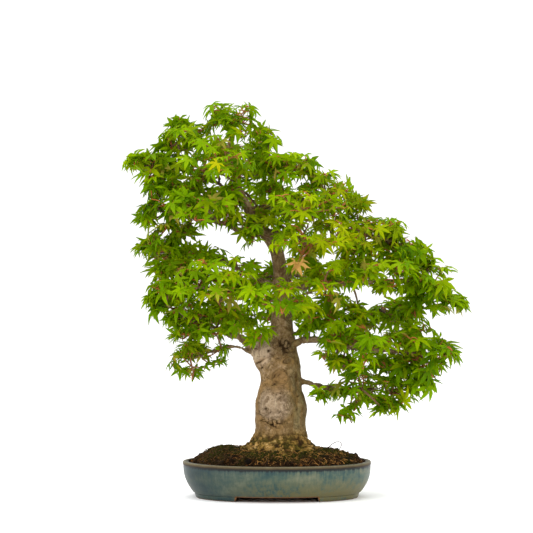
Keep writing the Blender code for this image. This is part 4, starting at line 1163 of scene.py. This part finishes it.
def leaf_finish():
    finish = Finish("maple_leaf", Specular_IOR_Level=0.03, Roughness=0.5)
    shade, yellow, dry = (finish.attribute(name) for name in ("shade", "yellow", "dry"))
    blade = finish.node("ShaderNodeUVMap", {"uv_map": "blade"})
    marks = finish.node("ShaderNodeSeparateXYZ", None, blade.outputs[0])
    across, along = Value(finish, marks.outputs[0]), Value(finish, marks.outputs[1])
    from_rib = (across - 0.5).maths("ABSOLUTE") * 2
    mottle = finish.noise(0.006, 3.0, 0.6)
    green = finish.ramp(
        shade + (mottle - 0.5) * 0.35,
        (0.0, 0.036, 0.104, 0.0002),
        (0.35, 0.112, 0.24, 0.0002),
        (0.65, 0.218, 0.372, 0.0002),
        (1.0, 0.34, 0.48, 0.0004),
    )
    green = finish.blend(yellow * 0.9, green, (0.5, 0.44, 0.001))
    veins = (along * 26 + from_rib * -3.2).maths("SINE").between(0.55, 1.0) * 0.35
    rib = (1 - from_rib.between(0.0, 0.16)) * (1 - along.between(0.5, 1.0))
    green = finish.blend(rib * 0.45 + veins * 0.25, green, (0.28, 0.36, 0.004))
    tips = along.between(0.8, 0.97) * (0.4 + yellow) + from_rib.between(0.9, 1.0) * yellow * 0.5
    green = finish.blend(tips * 0.7, green, (0.32, 0.09, 0.008))
    green = finish.blend(dry, green, (0.6, 0.31, 0.09))
    finish.set(
        Base_Color=green,
        Roughness=0.4 + mottle * 0.18,
        Normal=finish.bump(veins * -1.0 + rib * -1.5 + mottle * 0.3, 0.0005, 0.6),
    )
    through = finish.node("ShaderNodeBsdfTranslucent", None, Color=(0.32, 0.52, 0.0004))
    both = finish.node("ShaderNodeMixShader", None, 0.3, finish.shader.outputs[0], through.outputs[0])
    finish.tree.links.new(both.outputs[0], finish.tree.nodes["Material Output"].inputs["Surface"])
    return finish.material


def pad_box(name):
    """Middle and half sizes of a pad."""
    low, high = (np.array(corner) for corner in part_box(f"leaves_{name}"))
    return (low + high) / 2, (high - low) / 2


def dome(count, turned):
    """Even directions over a ball without its lowest part: heights fall from 1 to LOWEST_SHOOT
    in equal steps while the angle turns by the golden angle."""
    step = (np.arange(count) + 0.5) / count
    height = 1 - (1 - LOWEST_SHOOT) * step
    turn = np.arange(count) * 2.399963 + turned
    out = np.sqrt(np.maximum(1 - height**2, 0))
    return np.stack((out * np.cos(turn), out * np.sin(turn), height), axis=-1)


def in_opening(points):
    """Whether each point is inside one of the gaps, taken as ovals across and up."""
    middles, halves = np.split(np.array(OPENINGS), 2, axis=1)
    share = ((points - UNDER - (0, 0, POT_TOP)) / TREE)[:, None, (0, 2)]
    share = (share - middles) / halves
    return (np.sum(share**2, axis=-1) < 1).any(axis=1)


def plan_shoots(centre, half, rng, wood):
    """Shoot tips over a pad's dome, hubs that gather four shoots each, and the nearest wood."""
    area = half[0] * half[1] + (half[0] + half[1]) * half[2]
    count = max(2, int(round(area / SHOOT_AREA)))
    ways = dome(count, rng.uniform(0, 6))
    room = np.maximum(half - (0.013, 0.013, 0.004), half * 0.5)
    reach = room + np.where(ways[:, 2:] < 0, (0, 0, HANG), (0, 0, 0))
    depth = 1 - 0.35 * rng.uniform(0, 1, (count, 1)) ** 2
    tips = centre + ways * reach * depth + rng.normal(0, 0.009, (count, 3))
    hubs = max(1, count // 4)
    chosen = tips[rng.permutation(count)[:hubs]]
    for _ in range(4):
        hub_of = np.argmin(np.linalg.norm(tips[:, None] - chosen[None], axis=-1), axis=1)
        groups = [tips[hub_of == i] for i in range(hubs)]
        chosen = np.stack([group.mean(axis=0) if len(group) else old for group, old in zip(groups, chosen)])
    hub = chosen * 0.62 + centre * 0.38 - (0, 0, half[2] * 0.3)
    root = wood[np.argmin(np.linalg.norm(hub[:, None] - wood[None], axis=-1), axis=1)]
    return ways, tips, hub, hub_of, root


def grow_pad(centre, half, rng, wood):
    """The leaves of a pad: along each shoot a pair, then a pair, then three at the tip. A leaf
    heads out along its shoot, turned by its place in the whorl, and droops; its face looks up
    and out of the pad."""
    ways, tips, hub, hub_of, root = plan_shoots(centre, half, rng, wood)
    seed = int(rng.integers(1, 9999))
    clear = ~in_opening(tips)
    ways, tips, hub_of = ways[clear], tips[clear], hub_of[clear]
    shoots = bent(hub[hub_of], tips, 0.03, 9, seed)
    found = []
    for station, turns, smaller in WHORLS:
        node = np.repeat(shoots[:, station], len(turns), axis=0)
        along = shoots[:, station] - shoots[:, station - 2]
        heading = np.repeat(np.arctan2(along[:, 1], along[:, 0]), len(turns))
        count = len(node)
        heading = heading + np.tile(turns, len(shoots)) + rng.normal(0, 0.32, count)
        low = np.repeat(np.clip((1 - ways[:, 2]) / 1.5, 0, 1), len(turns))
        droop = 0.12 + 0.55 * low + rng.normal(0, 0.42, count)
        found.append((node, heading, droop, low, np.full(count, smaller)))
    node, heading, droop, low, smaller = (np.concatenate(group) for group in zip(*found))
    keep = rng.uniform(0, 1, len(node)) < 0.93
    node, heading, droop, low, smaller = (group[keep] for group in (node, heading, droop, low, smaller))
    level = np.stack((np.cos(heading), np.sin(heading), np.zeros_like(heading)), axis=-1)
    sky = np.array((0.0, 0.0, 1.0))
    away = unit(((node - centre) / half + 0.5 * (node - MIDDLE) / 0.2) * (1, 1, 0) + 1e-6)
    ahead = level * np.cos(droop)[:, None] - sky * np.sin(droop)[:, None]
    ahead = unit(ahead + rng.normal(0, 0.34, ahead.shape))
    face = sky * 0.75 + away * (0.3 + 0.45 * low)[:, None] + level * np.sin(droop)[:, None] * 0.5
    face = face + rng.normal(0, 0.32, face.shape)
    up = unit(face - ahead * np.sum(face * ahead, axis=-1, keepdims=True))
    stalk = rng.uniform(0.01, 0.021, (len(node), 1))
    way = level + sky * rng.uniform(0.0, 0.6, (len(node), 1)) + rng.normal(0, 0.15, level.shape)
    base = node + unit(way) * stalk
    size = LEAF_LENGTH * rng.uniform(0.62, 1.18, len(node)) * smaller
    size = size * (1 + 0.22 * soft_step(np.abs(node[:, 0] - MIDDLE[0]), 0.15, 0.25))
    tip = base + ahead * size[:, None] - centre
    margin = OVERHANG * rng.uniform(0.4, 1.6, (len(node), 1))
    reach = half + np.where(tip < 0, (1, 1, 3.0), (1, 1, 1.0)) * margin
    beyond = np.maximum(np.linalg.norm(tip / reach, axis=-1, keepdims=True), 1)
    base = base - tip * (1 - 1 / beyond)
    # how deep in its pad each leaf sits, from which leaf_tones paints shade
    inside = 1 - np.clip(np.linalg.norm((base - centre) / half, axis=-1), 0, 1)
    blade = ahead * size[:, None]
    clear = ~(in_opening(base + blade * 0.5) | in_opening(base + blade))
    return [group[clear] for group in (base, ahead, up, size, inside, node)] + [shoots, hub, root]


def make_foliage():
    """Leaves and twigs of every pad, gathered into a few pieces."""
    wood = wood_points()
    leaf, twig = leaf_finish(), twig_finish()
    for group, (region, pads) in enumerate(FOLIAGE.items()):
        leaf_parts, twig_parts, marks, values, twig_shades = [], [], [], [], []
        plots = [pad_box(pad) for pad in pads]
        plots += [(spot(sprig[:3]), np.array(sprig[3:]) * TREE) for sprig in SPRIGS.get(region, ())]
        for order, (centre, half) in enumerate(plots):
            rng = np.random.default_rng(100 + 20 * group + order)
            base, ahead, up, size, inside, node, shoots, hub, root = grow_pad(centre, half, rng, wood)
            seed = int(rng.integers(1, 9999))
            seven = rng.uniform(0, 1, len(base)) < 0.25
            for pattern, chosen in ((SEVEN, seven), (FIVE, ~seven)):
                points, faces, corner_marks, each = leaves(
                    pattern, base[chosen], ahead[chosen], up[chosen], size[chosen], seed
                )
                leaf_parts.append((points, faces))
                marks.append((corner_marks, len(faces[0]) * 4))
                tone = leaf_tones(base[chosen], inside[chosen], rng)
                values.append(np.repeat(tone, each, axis=0))
            petioles = tapering(bent(node, base, 0.03, 4, seed), 0.0009, 0.0009, 4)
            fine = tapering(shoots, 0.0014, 0.0009, 5)
            arms = tapering(bent(root, hub, -0.02, 8, seed + 2), 0.0022, 0.0012, 6)
            for part, dark, pale in ((petioles, 0.45, 1.0), (fine, 0.2, 0.6), (arms, 0.0, 0.3)):
                twig_parts.append(part)
                twig_shades.append(rng.uniform(dark, pale, len(part[0])) * 0.3 + (dark + pale) * 0.35)
        add_leaf_piece(f"leaves_{region}_look", leaf_parts, marks, values, leaf, pads)
        mesh = mesh_of(f"twigs_{region}", *merged(twig_parts))
        piece(mesh, twig, "branch_bark", shade=np.concatenate(twig_shades))
    make_odd_leaves(leaf, twig, wood)


def make_odd_leaves(finish, twig, wood):
    """A hanging cluster of dry curled leaves near the middle and one yellow leaf on the left."""
    spots = np.array(
        (
            (0.031, -0.15, 0.424), (0.036, -0.152, 0.421), (0.04, -0.15, 0.425), (0.034, -0.147, 0.419),
            (-0.104, -0.15, 0.596),
        )
    )
    base = spots + UNDER
    ahead = ((-0.3, -0.2, -0.9), (0.2, -0.4, -0.9), (0.5, -0.1, -0.8), (0, 0.2, -1), (-0.5, -0.5, -0.4))
    ahead = unit(np.array(ahead))
    face = np.array(((0.4, -0.9, 0.1), (-0.3, -0.9, 0.2), (0.2, -1, 0.2), (0.6, -0.6, 0), (0.1, -0.8, 0.6)))
    up = unit(face - ahead * np.sum(face * ahead, axis=-1, keepdims=True))
    size = np.array((0.021, 0.023, 0.019, 0.02, 0.025))
    points, faces, marks, each = leaves(FIVE, base, ahead, up, size, 81)
    dry = np.repeat((1.0, 1.0, 1.0, 1.0, 0.0), each)
    points = points + wander(points, 0.007, 82) * 0.0035 * dry[:, None]
    mesh = mesh_of("odd_leaves", points, faces)
    mesh.uv_layers.new(name="blade").data.foreach_set("uv", marks.astype(np.float32).ravel())
    piece(mesh, finish, "leaves", shade=0.8, yellow=1 - dry, dry=dry)
    root = wood[np.argmin(np.linalg.norm(base[:, None] - wood[None], axis=-1), axis=1)]
    stalks = tapering(bent(root, base, 0.05, 9, 85), 0.001, 0.0004, 5)
    piece(mesh_of("odd_leaf_stalks", *stalks), twig, "branch_bark", shade=0.5)


# patches of paler or darker leaves: right of the middle, height, radius, change
TONES = (
    (0.09, 0.46, 0.13, 0.12), (0.17, 0.18, 0.07, -0.2), (-0.22, 0.55, 0.12, -0.12),
    (0.24, 0.34, 0.06, -0.16), (-0.154, 0.25, 0.065, -0.55), (0.204, 0.23, 0.06, -0.16),
    (0.123, 0.527, 0.06, -0.14),
)


def leaf_tones(base, inside, rng):
    """Shade, yellowness and dryness of each leaf: painted light towards the front, painted shade
    inside the pads, changed in patches, with a few yellow ones."""
    x, y, z = (base - UNDER).T
    # painted light on the leaves towards the front and painted shade on those deep inside their pads
    light = 0.55 - 0.55 * (y + 0.02) - 0.55 * inside
    for across, up, radius, change in TONES:
        light += change * hump(np.hypot(x - across, z - up), radius)
    shade = np.clip(light + rng.normal(0, 0.22, len(x)), 0, 1)
    warm = hump(np.hypot(x - 0.1, (z - 0.47)), 0.1) * 0.35
    yellow = np.clip(warm + rng.normal(-0.06, 0.22, len(x)), 0, 1)
    wilted = (rng.uniform(0, 1, len(x)) < 0.04) * rng.uniform(0.2, 0.6, len(x))
    return np.stack((shade, yellow, wilted), axis=-1)


def add_leaf_piece(name, parts, marks, values, finish, pads):
    """Joins leaf surfaces, keeping each face corner's place on its blade."""
    points, faces = merged(parts)
    mesh = mesh_of(name, points, faces)
    quads = np.concatenate([corner[:split] for corner, split in marks])
    triangles = np.concatenate([corner[split:] for corner, split in marks])
    blade = mesh.uv_layers.new(name="blade")
    blade.data.foreach_set("uv", np.concatenate((quads, triangles)).astype(np.float32).ravel())
    values = np.concatenate(values)
    shade, yellow, dry = values.T
    nodes = [f"leaves_{pad}" for pad in pads]
    piece(mesh, finish, "leaves", *nodes, shade=shade, yellow=yellow, dry=dry)


# ----------------------------------------------------------------------- build
def build_pot():
    """The bowl, with dust on the front of its rim, and the foot ring."""
    glaze = pot_glaze()
    points, faces = make_pot()
    mesh = mesh_of("pot_bowl", points, faces)
    across = np.abs((points - MIDDLE)[:, :2] / (HALF_LENGTH, HALF_WIDTH)) ** OVAL_POWER
    inward = 1 - across.sum(axis=1) ** (1 / OVAL_POWER)
    dusty = soft_step(inward, 0.004, 0.016) * soft_step(MIDDLE[1] - points[:, 1], 0.04, 0.12)
    piece(mesh, glaze, "glaze", "pot", top=dusty * (points[:, 2] > POT_TOP - 0.004))
    piece(mesh_of("pot_foot", *make_foot()), glaze, "glaze")


def build_soil():
    """The mound, the loose crumbs on it and the fine roots that lie over it."""
    finish = soil_finish()
    points, faces = make_soil()
    shade = np.clip(0.28 + grain(points, 0.004, 61) * 0.4, 0, 1)
    green = greenness(points[:, 0], points[:, 1])
    piece(mesh_of("soil_mound", points, faces), finish, "soil", "soil", shade=shade, green=green)

    places, rng = scattered(5200, 62)
    sizes = rng.gamma(2.4, 0.00062, len(places)) + 0.0006
    points, faces = lumps(places + np.stack((0 * sizes, 0 * sizes, sizes * 0.15), axis=-1), sizes, 63)
    shade = np.repeat(np.clip(rng.beta(1.0, 2.4, len(places)), 0, 1), 12)
    green = greenness(points[:, 0], points[:, 1])
    piece(mesh_of("soil_crumbs", points, faces), finish, "soil", shade=shade, green=green)

    places, rng = scattered(1900, 64, 0.45, 0.975)
    turn = rng.uniform(0, 2 * np.pi, len(places))
    length = rng.uniform(0.003, 0.014, len(places))
    ends = places + np.stack((np.cos(turn) * length, np.sin(turn) * length, 0 * turn), axis=-1)
    inside = ground(ends[:, 0], ends[:, 1])[1] < 0.97
    places, ends = places[inside], ends[inside]
    ends[:, 2] = ground(ends[:, 0], ends[:, 1])[0]
    lift = np.array((0, 0, 0.0012))
    paths = bent(places + lift, ends + lift, 0.12, 9, 65)
    thick = rng.uniform(0.00018, 0.00058, (len(paths), 1)) * np.ones((1, 9))
    bright = 1 - 0.55 * soft_step(MIDDLE[0] - places[:, 0], 0.05, 0.1)
    bright = rng.uniform(0.1, 1.0, len(paths)) * bright
    mesh = mesh_of("fine_roots", *tubes(paths, thick, 4))
    piece(mesh, fibre_finish(), "soil", shade=np.repeat(bright, 36))


def build_moss():
    """Tufts: short bent blades that stand on the soil where it is green."""
    places, rng = scattered(15000, 71, 0.2, 0.97)
    green = greenness(places[:, 0], places[:, 1])
    places = places[green > rng.uniform(0.15, 1.0, len(places))]
    lean = rng.normal(0, 0.45, (len(places), 3)) * (1, 1, 0) + (0, 0, 1)
    length = rng.uniform(0.0014, 0.0046, (len(places), 1))
    ends = places + unit(lean) * length
    paths = bent(places - (0, 0, 0.0008), ends, 0, 3, 72)
    thick = np.array((0.00042, 0.00036, 0.0001)) * np.ones((len(paths), 1))
    shade = np.repeat(np.clip(rng.beta(2, 3, len(paths)), 0, 1), 9)
    mesh = mesh_of("moss_tufts", *tubes(paths, thick, 3))
    piece(mesh, moss_finish(), "moss", "moss_left", "moss_right", shade=shade)


def build_tendrils():
    """Dry stems that stand out of the soil: a loop at the right and wisps at the left."""
    stems = (
        (
            (0.0905, -0.01, 0.078), (0.0922, -0.012, 0.0852), (0.0957, -0.012, 0.0931),
            (0.1067, -0.013, 0.0998), (0.1148, -0.013, 0.0987), (0.1158, -0.012, 0.0931),
            (0.1114, -0.01, 0.0841), (0.11, -0.008, 0.078),
        ),
        ((0.0905, -0.01, 0.08), (0.09, -0.014, 0.088), (0.095, -0.015, 0.0915), (0.099, -0.014, 0.088)),
        ((-0.128, -0.01, 0.074), (-0.131, -0.012, 0.083), (-0.124, -0.012, 0.088), (-0.119, -0.012, 0.084)),
        ((-0.122, -0.01, 0.075), (-0.126, -0.012, 0.08), (-0.134, -0.012, 0.082)),
        ((-0.115, -0.02, 0.078), (-0.116, -0.022, 0.087), (-0.11, -0.022, 0.091)),
        ((0.13, -0.02, 0.07), (0.138, -0.022, 0.078), (0.146, -0.022, 0.077)),
    )
    parts = []
    for points in stems:
        path = np.array(points) + UNDER
        path = curve(np.arange(len(path)), path, np.linspace(0, len(path) - 1, 26))
        parts.append(tapering(path[None], 0.00085, 0.0006, 6))
    piece(mesh_of("dry_stems", *merged(parts)), fibre_finish(), "soil", shade=0.2)


def build_wood():
    """Trunk, limbs and surface roots as one skin of wood with its bark."""
    mesh = remeshed(mesh_of("maple_wood", *merged((make_trunk(), make_limbs(), make_roots()))), WOOD_GRID)
    mesh.materials.clear()
    carve_bark(mesh)
    mesh.polygons.foreach_set("use_smooth", np.ones(len(mesh.polygons), bool))
    nodes = [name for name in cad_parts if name.startswith("limb_")]
    piece(mesh, bark_finish(), "trunk_bark", "trunk", *nodes)


def finish_hidden():
    """Procedural finishes for the drain screens and the tie wires, whose shapes stay."""
    screen = Finish("screen_mesh", Specular_IOR_Level=0.4)
    cloud = screen.noise(0.004, 3.0)
    screen.set(
        Base_Color=screen.ramp(cloud, (0.3, 0.012, 0.012, 0.012), (0.7, 0.035, 0.035, 0.033)),
        Roughness=0.5 + cloud * 0.2, Normal=screen.bump(cloud, 0.0003, 0.5),
    )
    wire = Finish("bonsai_wire", Metallic=1.0)
    scuff = wire.noise(0.0015, 4.0)
    wire.set(
        Base_Color=wire.ramp(scuff, (0.35, 0.22, 0.13, 0.08), (0.7, 0.42, 0.28, 0.19)),
        Roughness=0.32 + scuff * 0.2, Normal=wire.bump(scuff, 0.0001, 0.5),
    )
    for name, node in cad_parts.items():
        if name.startswith("drain_") or name.startswith("tie_"):
            material = screen.material if name.startswith("drain_") else wire.material
            for index in range(len(node.material_slots)):
                node.material_slots[index].material = material


# ----------------------------------------------------------------- the studio
def area_light(name, place, size, power):
    """A round lamp that faces the middle of the tree."""
    lamp = bpy.data.lights.new(name, "AREA")
    lamp.shape = "DISK"
    lamp.size = size
    lamp.energy = power
    holder = standing(name, lamp)
    holder.location = place
    aim = Vector((MIDDLE[0], MIDDLE[1], 0.33)) - Vector(place)
    holder.rotation_euler = aim.to_track_quat("-Z", "Y").to_euler()


def build_studio():
    """A pale floor that glows more away from the pot, painted light that washes out the shadows beside it,
    a white room, three lamps and the camera.
    """
    scene = bpy.context.scene
    scene.view_settings.view_transform = "Standard"
    scene.view_settings.look = "None"
    world = bpy.data.worlds.new("pale room")
    world.use_nodes = True
    background = world.node_tree.nodes["Background"]
    background.inputs["Color"].default_value = (1.0, 1.0, 1.0, 1.0)
    background.inputs["Strength"].default_value = 1.16
    scene.world = world

    paper = Finish("white_paper_painted_glow", Roughness=0.9, Specular_IOR_Level=0.1, Emission_Strength=1.0)
    fibre = paper.noise(0.004, 3.0)
    across = (paper.axis(0) - MIDDLE[0]) / HALF_LENGTH
    deep = (paper.axis(1) - MIDDLE[1]) / HALF_WIDTH
    # painted light: the floor glows beyond the pot's outline, washing out the lamps' shadows around the pot
    glow = (across * across + deep * deep).between(0.7, 1.05) * 0.16
    paper.set(
        Base_Color=paper.ramp(fibre, (0.3, 0.96, 0.96, 0.96), (0.7, 0.985, 0.985, 0.985)),
        Emission_Color=paper.ramp(glow, (0.0, 0.0, 0.0, 0.0), (1.0, 1.0, 1.0, 1.0)),
    )
    reach = 6.0
    corners = np.array(((-1, -1, 0), (1, -1, 0), (1, 1, 0), (-1, 1, 0))) * reach - (0, 0, 0.0002)
    floor = standing("floor", mesh_of("floor", corners, [np.array([(0, 1, 2, 3)])]))
    floor.data.materials.append(paper.material)

    area_light("key", (-1.6, -2.2, 2.2), 2.0, 38)
    area_light("fill", (2.2, -1.8, 1.0), 1.6, 12)
    area_light("top", (0.1, 0.3, 2.6), 1.8, 20)

    camera = standing("camera", bpy.data.cameras.new("camera"))
    camera.data.lens = 141.9
    camera.data.sensor_width = 36.0
    camera.location = (MIDDLE[0] - 0.019, MIDDLE[1] - 3.8, 0.416)
    camera.rotation_euler = (math.pi / 2, 0, 0)
    scene.camera = camera


build_studio()
build_pot()
build_soil()
build_moss()
build_tendrils()
build_wood()
make_foliage()
finish_hidden()
